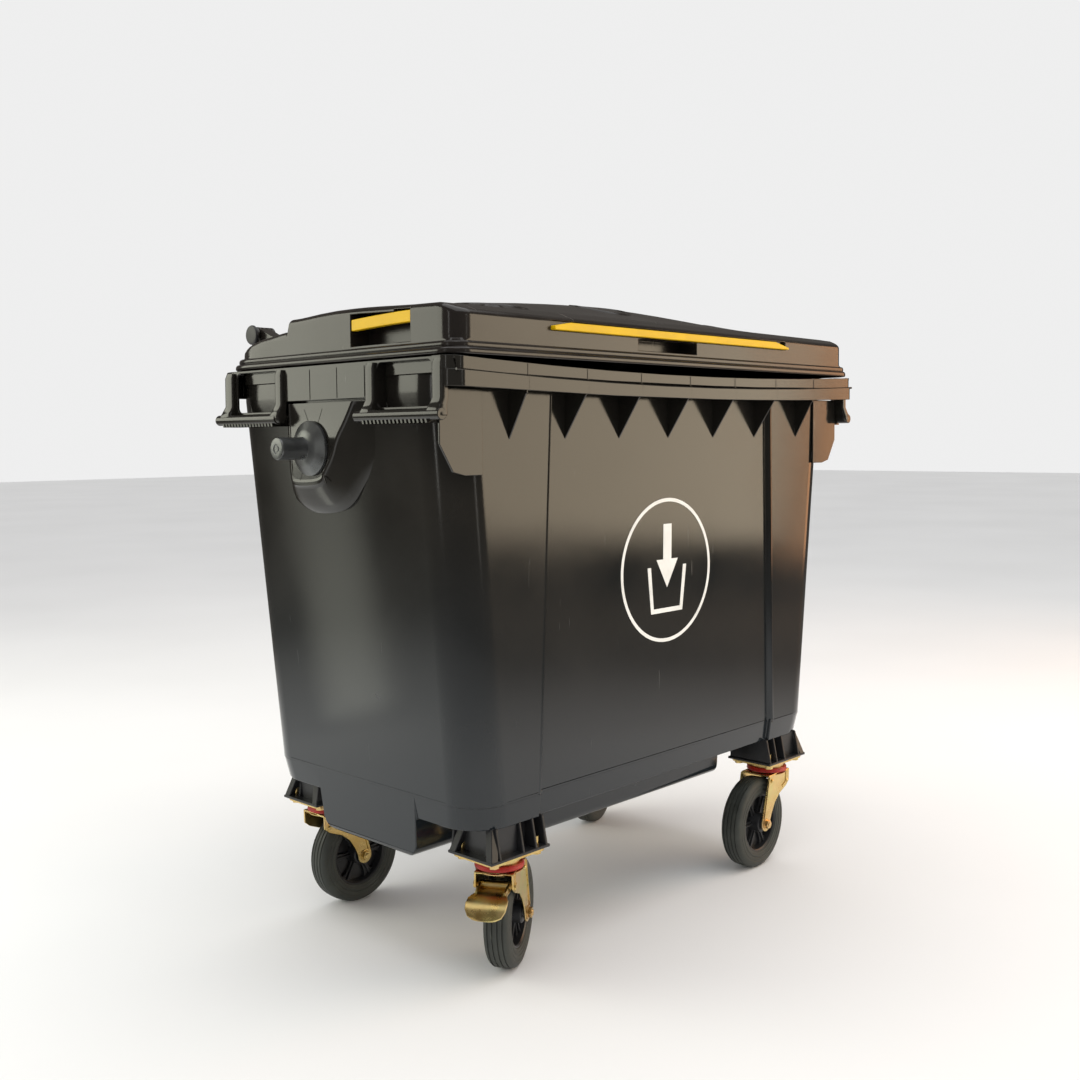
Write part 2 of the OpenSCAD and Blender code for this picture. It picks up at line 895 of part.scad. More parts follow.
module fork(c) {
    reach = fork_half + fork_t;
    color(zinc)
        at_castor(c)
            difference() {
                union() {
                    for (y = [-reach, fork_half])
                        along_y(y, y + fork_t)
                            polygon(concat([[-40, fork_top], [-40, 172], [-28, 165]],
                                arc(castor_trail, axle_z, 17, 200, 380, 8), [[46, 178], [50, fork_top]]));
                    translate([0, 0, fork_top - fork_t])
                        linear_extrude(fork_t)
                            polygon(round_box(-40, -reach, 50, reach, 4, 4));
                    translate([0, 0, fork_top - fork_t])
                        cylinder(r = 43, h = fork_t);
                    translate([0, 0, fork_top])
                        cylinder(r = race_r - 4, h = castor_h - plate_t - 18 - fork_top - 0.3);
                }
                translate([0, 0, fork_top - 30])
                    cylinder(r = 8 + run_gap, h = 60);
                translate([castor_trail, 0, axle_z])
                    rotate([90, 0, 0])
                        cylinder(r = axle_r + 0.02, h = 100, center = true);
                translate([brake_x, 0, brake_z])
                    rotate([90, 0, 0])
                        cylinder(r = brake_pin_r + 0.02, h = 100, center = true);
            }
}

// Axle bolt with its head and nut
module axle(c) {
    reach = fork_half + fork_t;
    color(zinc)
        at_castor(c)
            translate([castor_trail, 0, axle_z])
                rotate([90, 0, 0]) {
                    translate([0, 0, -reach - 10])
                        cylinder(r = axle_r, h = 2 * reach + 20);
                    translate([0, 0, reach])
                        cylinder(r = 10, h = 7, $fn = 6);
                    translate([0, 0, -reach - 8])
                        cylinder(r = 10, h = 8, $fn = 6);
                }
}

module bush(c) {
    color(dark_metal)
        at_castor(c)
            translate([castor_trail, 0, axle_z])
                rotate([90, 0, 0])
                    difference() {
                        cylinder(r = bush_r, h = 2 * fork_half - 0.1, center = true);
                        cylinder(r = axle_r + 0.02, h = 100, center = true);
                    }
}

module wheel_centre(c) {
    color(black)
        at_castor(c)
            translate([castor_trail, 0, axle_z])
                rotate([90, 0, 0])
                    difference() {
                        union() {
                            cylinder(r = hub_r, h = 54, center = true);
                            cylinder(r = rim_r - 6, h = 9, center = true);
                            difference() {
                                cylinder(r = rim_r, h = wheel_w - 8, center = true);
                                cylinder(r = rim_r - 7, h = wheel_w, center = true);
                            }
                        }
                        cylinder(r = bush_r + run_gap, h = 100, center = true);
                        for (i = [0:spoke_holes - 1])
                            rotate([0, 0, i * 360 / spoke_holes])
                                translate([39, 0, 0])
                                    cylinder(r = 14, h = 100, center = true);
                    }
}

module tyre(c) {
    shoulder = 9;
    half = wheel_w / 2;
    color(rubber)
        at_castor(c)
            translate([castor_trail, 0, axle_z])
                rotate([90, 0, 0])
                    rotate_extrude()
                        polygon(concat([[rim_r + 0.02, -half + 4], [rim_r + 10, -half]],
                            arc(wheel_d / 2 - shoulder, -half + shoulder, shoulder, -90, 0, 4),
                            arc(wheel_d / 2 - shoulder, half - shoulder, shoulder, 0, 90, 4),
                            [[rim_r + 10, half], [rim_r + 0.02, half - 4]]));
}

// Foot pedal that turns on its pivot at the fork's leading edge
module brake_pedal(c) {
    width = 2 * fork_half - 6;
    tongue = 74;
    color(zinc)
        at_castor(c)
            difference() {
                union() {
                    translate([brake_x, 0, brake_z])
                        rotate([90, 0, 0])
                            cylinder(r = 8, h = width, center = true);
                    along_y(-width / 2, width / 2)
                        polygon([[brake_x - 4, brake_z - 5], [-60, 176], [-60, 181],
                            [brake_x - 4, brake_z + 5]]);
                    along_y(-tongue / 2, tongue / 2)
                        polygon([[-54, 177], [-62, 176], [-84, 172], [-98, 163], [-104, 153],
                            [-107, 154], [-101, 166], [-86, 176], [-62, 181], [-54, 181]]);
                }
                translate([brake_x, 0, brake_z])
                    rotate([90, 0, 0])
                        cylinder(r = brake_pin_r + run_gap, h = 100, center = true);
            }
}

// Shoe that swings in against the tyre
module brake_shoe(c) {
    color(rubber)
        at_castor(c)
            difference() {
                union() {
                    along_y(-20, 20)
                        polygon(concat(arc(castor_trail, axle_z, 109.6, 150, 160, 3),
                            arc(castor_trail, axle_z, 116, 160, 150, 3)));
                    for (y = [-16, 12])
                        along_y(y, y + 4)
                            polygon([[brake_x - 7, brake_z], [brake_x + 5, brake_z],
                                [-34, 150], [-42, 146]]);
                }
                translate([brake_x, 0, brake_z])
                    rotate([90, 0, 0])
                        cylinder(r = 8, h = 100, center = true);
                along_y(-40, 40)
                    polygon([[brake_x - 20, brake_z + 10], [brake_x - 4, brake_z + 10],
                        [brake_x - 4, brake_z - 5], [-62, 176], [-62, 190]]);
            }
}

module brake_pivot(c) {
    reach = fork_half + fork_t;
    color(zinc)
        at_castor(c)
            translate([brake_x, 0, brake_z])
                rotate([90, 0, 0]) {
                    cylinder(r = brake_pin_r, h = 2 * reach + 2, center = true);
                    translate([0, 0, reach])
                        cylinder(r = 7, h = 3);
                    translate([0, 0, -reach - 3])
                        cylinder(r = 7, h = 3);
                }
}

tub_front();
tub_rear();
tub_end_left();
tub_end_right();
tub_floor();
front_rim();
front_gussets();
front_ears();
rear_rim();
hinge_posts();
end_frame_left();
end_frame_right();
bracket_left();
bracket_right();
castor_mounts();
trunnion_left();
trunnion_right();
trunnion_nuts();
round_sticker();
drain_plug();
drain_seal();
lid_shell();
grip_strip_front();
grip_strip_left();
grip_strip_right();
hinge_pin_left();
hinge_pin_right();
castor_bolts();
king_pins();
seal_rings();
top_plate(fl);  // plate_fl
fork(fl);  // fork_fl
axle(fl);  // axle_fl
bush(fl);  // bush_fl
wheel_centre(fl);  // wheel_centre_fl
tyre(fl);  // tyre_fl
top_plate(fr);  // plate_fr
fork(fr);  // fork_fr
axle(fr);  // axle_fr
bush(fr);  // bush_fr
wheel_centre(fr);  // wheel_centre_fr
tyre(fr);  // tyre_fr
top_plate(rl);  // plate_rl
fork(rl);  // fork_rl
axle(rl);  // axle_rl
bush(rl);  // bush_rl
wheel_centre(rl);  // wheel_centre_rl
tyre(rl);  // tyre_rl
top_plate(rr);  // plate_rr
fork(rr);  // fork_rr
axle(rr);  // axle_rr
bush(rr);  // bush_rr
wheel_centre(rr);  // wheel_centre_rr
tyre(rr);  // tyre_rr
brake_pedal(fl);  // brake_pedal_fl
brake_shoe(fl);  // brake_shoe_fl
brake_pivot(fl);  // brake_pivot_fl
brake_pedal(rr);  // brake_pedal_rr
brake_shoe(rr);  // brake_shoe_rr
brake_pivot(rr);  // brake_pivot_rr
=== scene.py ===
"""Looks of a four-wheeled waste container with a domed lid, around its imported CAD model."""

import json
import math

import bmesh
import bpy
from mathutils import Matrix, Vector


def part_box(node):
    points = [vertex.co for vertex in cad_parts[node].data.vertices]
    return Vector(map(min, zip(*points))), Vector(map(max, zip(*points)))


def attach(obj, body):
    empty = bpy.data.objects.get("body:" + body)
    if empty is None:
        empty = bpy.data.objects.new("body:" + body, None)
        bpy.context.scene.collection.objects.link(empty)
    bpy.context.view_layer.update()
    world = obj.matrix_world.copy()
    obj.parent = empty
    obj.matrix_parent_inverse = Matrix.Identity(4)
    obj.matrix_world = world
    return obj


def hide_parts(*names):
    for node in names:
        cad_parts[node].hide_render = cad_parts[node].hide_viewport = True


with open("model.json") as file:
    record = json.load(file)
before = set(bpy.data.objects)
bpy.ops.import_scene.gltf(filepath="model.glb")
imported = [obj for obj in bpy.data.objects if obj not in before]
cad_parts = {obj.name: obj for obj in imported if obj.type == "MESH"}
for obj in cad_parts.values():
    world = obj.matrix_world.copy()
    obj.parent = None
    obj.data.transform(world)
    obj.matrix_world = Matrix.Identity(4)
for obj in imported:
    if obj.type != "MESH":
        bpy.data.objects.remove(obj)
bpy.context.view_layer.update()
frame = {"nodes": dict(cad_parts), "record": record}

MM = 0.001
CASTORS = {"fl": 30, "fr": 183, "rl": 0, "rr": 200}
BRAKED = ("fl", "rr")

# Sizes taken over from the CAD design, in millimetres; the castors' turns, above, are in degrees
TUB_LOW = 334
TUB_TOP = 1074
DRAFT_LOW = 335
DRAFT_TOP = 1040
TUB_FOOT = (532, 333, 275)
TUB_DRAFT = (64, 9, 8)
TUB_CORNER = 75
PANEL_HALF = 340
PANEL_FLARE = 30
PANEL_HEIGHT = 785
PANEL_RECESS = 9
FASCIA_HALF = 622
FASCIA_DIP = 15
GRIP_X = 629
GRIP_Z = 1004
LID_HALF = 602
LID_FRONT = 376
LID_REAR = 285
LID_CORNERS = (34, 88)
HINGE_Y = 370
HINGE_Z = 1183
HINGE_IN = 446
HINGE_OUT = 478
TRUNNION_Z = 950
MOUNT_HALF = (73, 56)
MOUNT_BASE = 238
MOUNT_TOP = 292
TRAIL = 62
AXLE_Z = 100


# ---------------------------------------------------------------- mesh tools


def arc(x, y, r, start, end, steps=6):
    """Points of an arc, angles in degrees."""
    turn = [math.radians(start + (end - start) * i / steps) for i in range(steps + 1)]
    return [(x + r * math.cos(a), y + r * math.sin(a)) for a in turn]


def smooth_step(x, start, end):
    """Eases from 0 at start to 1 at end."""
    t = min(max((x - start) / (end - start), 0), 1)
    return t * t * (3 - 2 * t)


def skin(bm, sections, close_first=False, close_last=False):
    """Extrudes a closed loop of edges through a row of sections, in millimetres."""
    verts = [bm.verts.new(Vector(p) * MM) for p in sections[0]]
    edges = [bm.edges.new(pair) for pair in zip(verts, verts[1:] + verts[:1])]
    if close_first:
        bmesh.ops.contextual_create(bm, geom=edges)
    for section in sections[1:]:
        made = bmesh.ops.extrude_edge_only(bm, edges=edges)["geom"]
        fresh = {v for v in made if isinstance(v, bmesh.types.BMVert)}
        verts = [
            next(e.other_vert(v) for e in v.link_edges if e.other_vert(v) in fresh) for v in verts
        ]
        for v, p in zip(verts, section):
            v.co = Vector(p) * MM
        edges = [e for e in made if isinstance(e, bmesh.types.BMEdge) and fresh.issuperset(e.verts)]
    if close_last:
        bmesh.ops.contextual_create(bm, geom=edges)
    return edges


def softened(points, rounds=2):
    """Cuts the corners of an open chain a few times over, and keeps its two ends."""
    for _ in range(rounds):
        cuts = [
            tuple(a + (b - a) * share for a, b in zip(p, q))
            for p, q in zip(points, points[1:]) for share in (0.25, 0.75)
        ]
        points = [points[0]] + cuts + [points[-1]]
    return points


def prism(bm, outline, start, end, axis="x"):
    """Extrudes a flat outline along an axis, from start to end, in millimetres."""
    place = {
        "x": lambda a, b: (start, a, b),
        "y": lambda a, b: (a, start, b),
        "z": lambda a, b: (a, b, start),
    }[axis]
    way = {"x": (1, 0, 0), "y": (0, 1, 0), "z": (0, 0, 1)}[axis]
    face = bm.faces.new([bm.verts.new(Vector(place(a, b)) * MM) for a, b in outline])
    made = bmesh.ops.extrude_face_region(bm, geom=[face])["geom"]
    moved = [v for v in made if isinstance(v, bmesh.types.BMVert)]
    bmesh.ops.translate(bm, vec=Vector(way) * (end - start) * MM, verts=moved)
    return moved


def turned(bm, profile, centre, axis, steps=48):
    """Spins a profile of (radius, position along the axis) round an axis through centre."""
    axis = Vector(axis).normalized()
    side = axis.orthogonal().normalized()
    centre = Vector(centre) * MM
    verts = [bm.verts.new(centre + (side * r + axis * t) * MM) for r, t in profile]
    edges = [bm.edges.new(pair) for pair in zip(verts, verts[1:])]
    bmesh.ops.spin(
        bm, geom=verts + edges, cent=centre, axis=axis, dvec=(0, 0, 0),
        angle=math.tau, steps=steps, space=Matrix.Identity(4),
        use_merge=True, use_duplicate=False,
    )


def copy_of(*nodes):
    """Mesh of CAD nodes with its loose triangles joined to clean faces."""
    bm = bmesh.new()
    for node in nodes:
        bm.from_mesh(frame["nodes"][node].data)
    bmesh.ops.remove_doubles(bm, verts=bm.verts, dist=0.00002)
    bmesh.ops.dissolve_limit(
        bm, angle_limit=math.radians(0.6), verts=bm.verts, edges=bm.edges
    )
    return bm


def sharp(bm, angle):
    """Edges where two faces meet at more than angle degrees."""
    limit = math.radians(angle)
    return [e for e in bm.edges if len(e.link_faces) == 2 and e.calc_face_angle() > limit]


def round_edges(bm, width, angle=30, segments=2):
    """Bevels the sharp edges by width millimetres."""
    bmesh.ops.bevel(
        bm, geom=sharp(bm, angle), offset=width * MM, offset_type="OFFSET", segments=segments,
        profile=0.5, affect="EDGES", clamp_overlap=False, material=-1,
    )


def press(bm, box, way):
    """Pushes the faces inside a box in by a vector, as a pocket with walls."""
    low = [min(a, b) - 1 for a, b in zip(*box)]
    high = [max(a, b) + 1 for a, b in zip(*box)]
    chosen = [
        f for f in bm.faces
        if all(low[i] < f.calc_center_median()[i] / MM < high[i] for i in range(3))
    ]
    made = bmesh.ops.extrude_face_region(bm, geom=chosen)["geom"]
    moved = [v for v in made if isinstance(v, bmesh.types.BMVert)]
    bmesh.ops.translate(bm, vec=Vector(way) * MM, verts=moved)
    bmesh.ops.delete(bm, geom=[f for f in chosen if f.is_valid], context="FACES")


def finish_piece(name, bm, body, material, slot, nodes=(), smooth=35, wall=0):
    """Turns a bmesh into a piece that rides on a body and stands for CAD nodes."""
    bmesh.ops.remove_doubles(bm, verts=bm.verts, dist=0.00001)
    bmesh.ops.recalc_face_normals(bm, faces=bm.faces)
    mesh = bpy.data.meshes.new(name)
    bm.to_mesh(mesh)
    bm.free()
    piece = bpy.data.objects.new(name, mesh)
    bpy.context.scene.collection.objects.link(piece)
    mesh.materials.append(material)
    mesh.shade_smooth()
    mesh.set_sharp_from_angle(angle=math.radians(smooth))
    if wall:
        mod = piece.modifiers.new("wall", "SOLIDIFY")
        mod.thickness = wall * MM
        mod.offset = -1
    piece.modifiers.new("even shading", "WEIGHTED_NORMAL").keep_sharp = True
    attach(piece, body)
    if nodes:
        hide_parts(*nodes)
    return piece


# ---------------------------------------------------------------- materials


def socket(group, name, way, value=None):
    """Adds a number socket to a node group."""
    made = group.interface.new_socket(name=name, in_out=way, socket_type="NodeSocketFloat")
    if value is not None:
        made.default_value = value
    return made


def mottle_group():
    """Soft patches, fine grain and hairline scratches, as masks from 0 to 1."""
    group = bpy.data.node_groups.new("mottle", "ShaderNodeTree")
    socket(group, "Patch size", "INPUT", value=6.0)
    socket(group, "Grain size", "INPUT", value=400.0)
    for name in ("Patches", "Grain", "Scratches"):
        socket(group, name, "OUTPUT")
    n, link = group.nodes, group.links.new
    given, out = n.new("NodeGroupInput"), n.new("NodeGroupOutput")
    where = n.new("ShaderNodeTexCoord")
    patches, grain = n.new("ShaderNodeTexNoise"), n.new("ShaderNodeTexNoise")
    patches.inputs["Detail"].default_value = 5
    grain.inputs["Detail"].default_value = 2
    link(where.outputs["Object"], patches.inputs["Vector"])
    link(where.outputs["Object"], grain.inputs["Vector"])
    link(given.outputs["Patch size"], patches.inputs["Scale"])
    link(given.outputs["Grain size"], grain.inputs["Scale"])
    link(patches.outputs["Fac"], out.inputs["Patches"])
    link(grain.outputs["Fac"], out.inputs["Grain"])
    # Scratches: thin lines of a stretched noise
    total = None
    for turn, scale in (((0.3, 0.5, 0.2), (90, 6, 5)), ((1.1, 0.2, 0.9), (7, 110, 6))):
        place = n.new("ShaderNodeMapping")
        place.inputs["Rotation"].default_value = turn
        place.inputs["Scale"].default_value = scale
        lines = n.new("ShaderNodeTexNoise")
        lines.inputs["Scale"].default_value = 1.5
        lines.inputs["Detail"].default_value = 3
        cut = n.new("ShaderNodeMapRange")
        cut.inputs["From Min"].default_value = 0.735
        cut.inputs["From Max"].default_value = 0.76
        link(where.outputs["Object"], place.inputs["Vector"])
        link(place.outputs["Vector"], lines.inputs["Vector"])
        link(lines.outputs["Fac"], cut.inputs["Value"])
        if total is None:
            total = cut.outputs["Result"]
        else:
            both = n.new("ShaderNodeMath")
            both.operation = "MAXIMUM"
            link(total, both.inputs[0])
            link(cut.outputs["Result"], both.inputs[1])
            total = both.outputs["Value"]
    link(total, out.inputs["Scratches"])
    return group


MOTTLE = mottle_group()


def mix(tree, fac, a, b):
    """Mixes two colours, each a value or a socket, by a mask."""
    node = tree.nodes.new("ShaderNodeMix")
    node.data_type = "RGBA"
    tree.links.new(fac, node.inputs["Factor"])
    for name, value in (("A", a), ("B", b)):
        slot = [s for s in node.inputs if s.name == name and s.type == "RGBA"][0]
        if isinstance(value, tuple):
            slot.default_value = (*value, 1)
        else:
            tree.links.new(value, slot)
    return [s for s in node.outputs if s.type == "RGBA"][0]


def ranged(tree, value, low, high, start=0.3, end=0.7):
    """Maps a mask onto the range low to high."""
    node = tree.nodes.new("ShaderNodeMapRange")
    for name, number in (("From Min", start), ("From Max", end), ("To Min", low), ("To Max", high)):
        node.inputs[name].default_value = number
    tree.links.new(value, node.inputs["Value"])
    return node.outputs["Result"]


def scaled(tree, value, factor):
    """Multiplies a mask by a number."""
    node = tree.nodes.new("ShaderNodeMath")
    node.operation = "MULTIPLY"
    node.inputs[1].default_value = factor
    tree.links.new(value, node.inputs[0])
    return node.outputs["Value"]


def added(tree, a, b):
    """Adds two masks."""
    node = tree.nodes.new("ShaderNodeMath")
    node.operation = "ADD"
    tree.links.new(a, node.inputs[0])
    tree.links.new(b, node.inputs[1])
    return node.outputs["Value"]


def height_mask(tree, low, high):
    """Mask that falls from 1 at the lower height to 0 at the upper one, in metres."""
    where = tree.nodes.new("ShaderNodeTexCoord")
    split = tree.nodes.new("ShaderNodeSeparateXYZ")
    tree.links.new(where.outputs["Object"], split.inputs["Vector"])
    return ranged(tree, split.outputs["Z"], 1, 0, low, high)


def surface(name, colours, rough=(0.2, 0.3), patch=6.0, grain=400.0, bump=0.1,
            metal=0.0, scratch=(0.3, 0.3, 0.3), scratch_rough=0.15):
    """Procedural finish: two colours in soft patches, grain in the bump, scratches over all."""
    material = bpy.data.materials.new(name)
    material.use_nodes = True
    tree = material.node_tree
    shader = tree.nodes["Principled BSDF"]
    shader.inputs["Metallic"].default_value = metal
    marks = tree.nodes.new("ShaderNodeGroup")
    marks.node_tree = MOTTLE
    marks.inputs["Patch size"].default_value = patch
    marks.inputs["Grain size"].default_value = grain
    out = marks.outputs
    colour = mix(tree, ranged(tree, out["Patches"], 0, 1), *colours)
    colour = mix(tree, scaled(tree, out["Scratches"], 0.5), colour, scratch)
    tree.links.new(colour, shader.inputs["Base Color"])
    roughness = added(
        tree, ranged(tree, out["Patches"], *rough), scaled(tree, out["Scratches"], scratch_rough)
    )
    tree.links.new(roughness, shader.inputs["Roughness"])
    relief = tree.nodes.new("ShaderNodeBump")
    relief.inputs["Strength"].default_value = bump
    relief.inputs["Distance"].default_value = 0.0004
    tree.links.new(out["Grain"], relief.inputs["Height"])
    tree.links.new(relief.outputs["Normal"], shader.inputs["Normal"])
    return material


def tint_low(material, colour, low, high, amount):
    """Lays a cool tint over the lower part of a finish: partly painted cool light from below, partly dust.
    """
    tree = material.node_tree
    shader = tree.nodes["Principled BSDF"]
    old = shader.inputs["Base Color"].links[0].from_socket
    mask = scaled(tree, height_mask(tree, low, high), amount)
    tree.links.new(mix(tree, mask, old, colour), shader.inputs["Base Color"])


def container_plastic():
    """Glossy charcoal moulding with a cooler, bluer tint towards its foot: partly painted cool light from
    below, partly dust.
    """
    made = surface(
        "container_plastic", ((0.008, 0.0075, 0.006), (0.016, 0.0145, 0.012)),
        rough=(0.07, 0.15), patch=5, grain=900, bump=0.1, scratch=(0.16, 0.16, 0.16),
    )
    # Painted light: the lower walls are tinted blue-grey for cool light falling from below, with some dust
    tint_low(made, (0.0135, 0.018, 0.022), 0.3, 0.85, 0.9)
    return made


def lid_plastic():
    return surface(
        "lid_plastic", ((0.010, 0.008, 0.007), (0.020, 0.016, 0.013)),
        rough=(0.13, 0.26), patch=7, grain=700, bump=0.15, scratch=(0.2, 0.18, 0.16),
    )


def black_plastic():
    return surface(
        "black_plastic", ((0.010, 0.010, 0.011), (0.022, 0.023, 0.025)),
        rough=(0.3, 0.45), patch=12, grain=900, bump=0.2, scratch=(0.1, 0.1, 0.1),
    )


def yellow_plastic():
    """Signal yellow with a low gloss, so that it stays yellow under the lamps."""
    made = surface(
        "yellow_plastic", ((0.64, 0.38, 0.0), (0.74, 0.46, 0.003)),
        rough=(0.3, 0.42), patch=20, grain=700, bump=0.1, scratch=(0.5, 0.3, 0.02),
    )
    made.node_tree.nodes["Principled BSDF"].inputs["Specular IOR Level"].default_value = 0.25
    return made


def white_film():
    return surface(
        "white_film", ((0.72, 0.73, 0.70), (0.84, 0.85, 0.82)),
        rough=(0.35, 0.5), patch=25, grain=1200, bump=0.05, scratch=(0.45, 0.45, 0.42),
    )


def zinc_plate():
    """Yellow passivation with a pink and green bloom."""
    made = surface(
        "zinc_plate", ((0.60, 0.40, 0.13), (0.74, 0.58, 0.26)),
        rough=(0.2, 0.38), patch=30, grain=500, bump=0.15, metal=1.0, scratch=(0.35, 0.28, 0.15),
    )
    tree = made.node_tree
    shader = tree.nodes["Principled BSDF"]
    bloom = tree.nodes.new("ShaderNodeGroup")
    bloom.node_tree = MOTTLE
    bloom.inputs["Patch size"].default_value = 14
    bloom.inputs["Grain size"].default_value = 22
    old = shader.inputs["Base Color"].links[0].from_socket
    pink_mask = ranged(tree, bloom.outputs["Patches"], 0, 0.28, 0.54, 0.68)
    pink = mix(tree, pink_mask, old, (0.78, 0.46, 0.36))
    green_mask = ranged(tree, bloom.outputs["Grain"], 0, 0.4, 0.54, 0.68)
    green = mix(tree, green_mask, pink, (0.56, 0.60, 0.24))
    tree.links.new(green, shader.inputs["Base Color"])
    return made


def dark_metal():
    return surface(
        "dark_metal", ((0.10, 0.105, 0.105), (0.17, 0.175, 0.175)),
        rough=(0.25, 0.38), patch=30, grain=900, bump=0.15, metal=0.8, scratch=(0.35, 0.35, 0.35),
    )


def red_seal():
    return surface(
        "red_seal", ((0.30, 0.008, 0.006), (0.42, 0.016, 0.010)),
        rough=(0.35, 0.5), patch=40, grain=900, bump=0.1, scratch=(0.35, 0.05, 0.04),
    )


def tyre_rubber():
    return surface(
        "tyre_rubber", ((0.022, 0.025, 0.021), (0.048, 0.053, 0.045)),
        rough=(0.5, 0.72), patch=26, grain=500, bump=0.5, scratch=(0.12, 0.13, 0.11),
    )


def brake_rubber():
    return surface(
        "brake_rubber", ((0.012, 0.012, 0.012), (0.025, 0.025, 0.024)),
        rough=(0.6, 0.8), patch=40, grain=600, bump=0.4, scratch=(0.08, 0.08, 0.08),
    )


FINISH = {
    "container_moulding": container_plastic(),
    "lid_moulding": lid_plastic(),
    "black_plastic": black_plastic(),
    "yellow_grip": yellow_plastic(),
    "white_film": white_film(),
    "passivated_zinc": zinc_plate(),
    "dark_metal": dark_metal(),
    "red_seal": red_seal(),
    "tyre_rubber": tyre_rubber(),
    "brake_rubber": brake_rubber(),
}


def dress_cad_nodes():
    """Gives every carried-over CAD node the finish of its slot."""
    for part in frame["record"]["subparts"]:
        mesh = frame["nodes"][part["node"]].data
        mesh.materials.clear()
        mesh.materials.append(FINISH[part["material_slot"]])


def make(name, bm, body, slot, nodes=(), **shape):
    """Finishes a piece in the material of its slot."""
    return finish_piece(name, bm, body, FINISH[slot], slot, nodes, **shape)


# ---------------------------------------------------------------- container

def tub_at(z):
    """Half length, front and rear of the tub at a height."""
    t = min((z - DRAFT_LOW) / (DRAFT_TOP - DRAFT_LOW), 1)
    return tuple(foot + draft * t for foot, draft in zip(TUB_FOOT, TUB_DRAFT))


def tub_ring(z, inset=0.0):
    """Outline of the tub at a height, with the front panel set back."""
    half, front, rear = (v - inset for v in tub_at(z))
    r = TUB_CORNER - inset
    panel = PANEL_HALF + PANEL_FLARE * (TUB_TOP - z) / PANEL_HEIGHT
    outline = arc(half - r, -front + r, r, -90, 0, 12) + arc(half - r, rear - r, r, 0, 90, 12)
    outline += arc(-half + r, rear - r, r, 90, 180, 12) + arc(-half + r, -front + r, r, 180, 270, 12)
    step = [(panel + 10, 0), (panel + 7.5, -1.2), (panel + 4.5, -1.4), (panel + 2.2, 0.2),
        (panel - 0.4, 4.5), (panel - 2.6, 8.2), (panel - 4.2, PANEL_RECESS)]
    run = [(-x, d) for x, d in step] + [(x, d) for x, d in reversed(step)]
    outline += [(x, -front + d) for x, d in run]
    return [(x, y, z) for x, y in outline]


def tub_walls():
    """Drafted walls with round corners, a recessed front panel and a crease above the floor."""
    bm = bmesh.new()
    rows = [(TUB_LOW - 2, 0), (TUB_LOW, 1.1), (TUB_LOW + 2, 0)]
    rows += [(TUB_LOW + 2 + i * (DRAFT_TOP - TUB_LOW - 2) / 10, 0) for i in range(1, 11)]
    rows.append((TUB_TOP, 0))
    skin(bm, [tub_ring(z, inset) for z, inset in rows])
    make(
        "tub_walls", bm, "container", "container_moulding",
        ("tub_front", "tub_rear", "tub_end_left", "tub_end_right"), wall=5,
    )


def tub_floor():
    """Stepped floor with its keel, softened along its edges."""
    bm = copy_of("tub_floor")
    round_edges(bm, 2.5, angle=40)
    make("tub_floor_moulded", bm, "container", "container_moulding", ("tub_floor",))


def rounded_mouldings():
    """Mouldings whose CAD shape is right, with softened edges."""
    for name, width in (
        ("front_rim", 0.9), ("front_gussets", 0.5), ("front_ears", 0.9), ("rear_rim", 1.2),
        ("hinge_posts", 0.8), ("end_frame_left", 1.3), ("end_frame_right", 1.3),
    ):
        bm = copy_of(name)
        round_edges(bm, width)
        make(name + "_moulded", bm, "container", "container_moulding", (name,))


def fascia_drop(x):
    """How far the fascia's lines hang down at a place along the front."""
    return FASCIA_DIP * (1 - (x / FASCIA_HALF) ** 2)


def fascia_seams():
    """Fine upright seams on the front fascia, over each gusset."""
    bm = bmesh.new()
    for i in range(-3, 4):
        x = 150 * i
        left, right, drop = x - 0.7, x + 0.7, fascia_drop(x)
        for low, high, front, back in (
            (1050 - 0.65 * drop, 1075 - drop, -390, -388), (1077 - drop, 1096 - drop, -387.8, -385),
        ):
            prism(bm, [(left, low), (right, low), (right, high), (left, high)], front, back, "y")
    make("fascia_seams", bm, "container", "container_moulding")


def fascia_ridge():
    """Rounded ledge between the two steps of the front fascia."""
    bm = bmesh.new()
    sections = []
    for i in range(33):
        x = -612 + 1224 * i / 32
        z = 1074.6 - fascia_drop(x)
        sections.append([(x, y - 387.6, z + t) for y, t in arc(0, 0, 2.2, 0, 315, 7)])
    skin(bm, sections, True, True)
    make("fascia_ridge", bm, "container", "container_moulding")


def flared_post(bm, side, y, wide):
    """Flat-faced upright between a grip and the rim, which spreads into the grip at its foot."""
    rows = [(997, 1.15, 7), (1002, 1.35, 11), (1010, 1.3, 11.5), (1018, 1.12, 9.5), (1030, 1, 8),
        (1084, 1, 8), (1093, 0.8, 5)]
    section = [[math.copysign(abs(v) ** 0.4, v) for v in p] for p in arc(0, 0, 1, 0, 345, 23)]
    rings = []
    for z, spread, reach in rows:
        out = 626 - 9 * smooth_step(z, 1008, 1034)
        rings.append([(side * (out + reach * a), y + wide * spread * b, z) for a, b in section])
    skin(bm, rings, True, True)


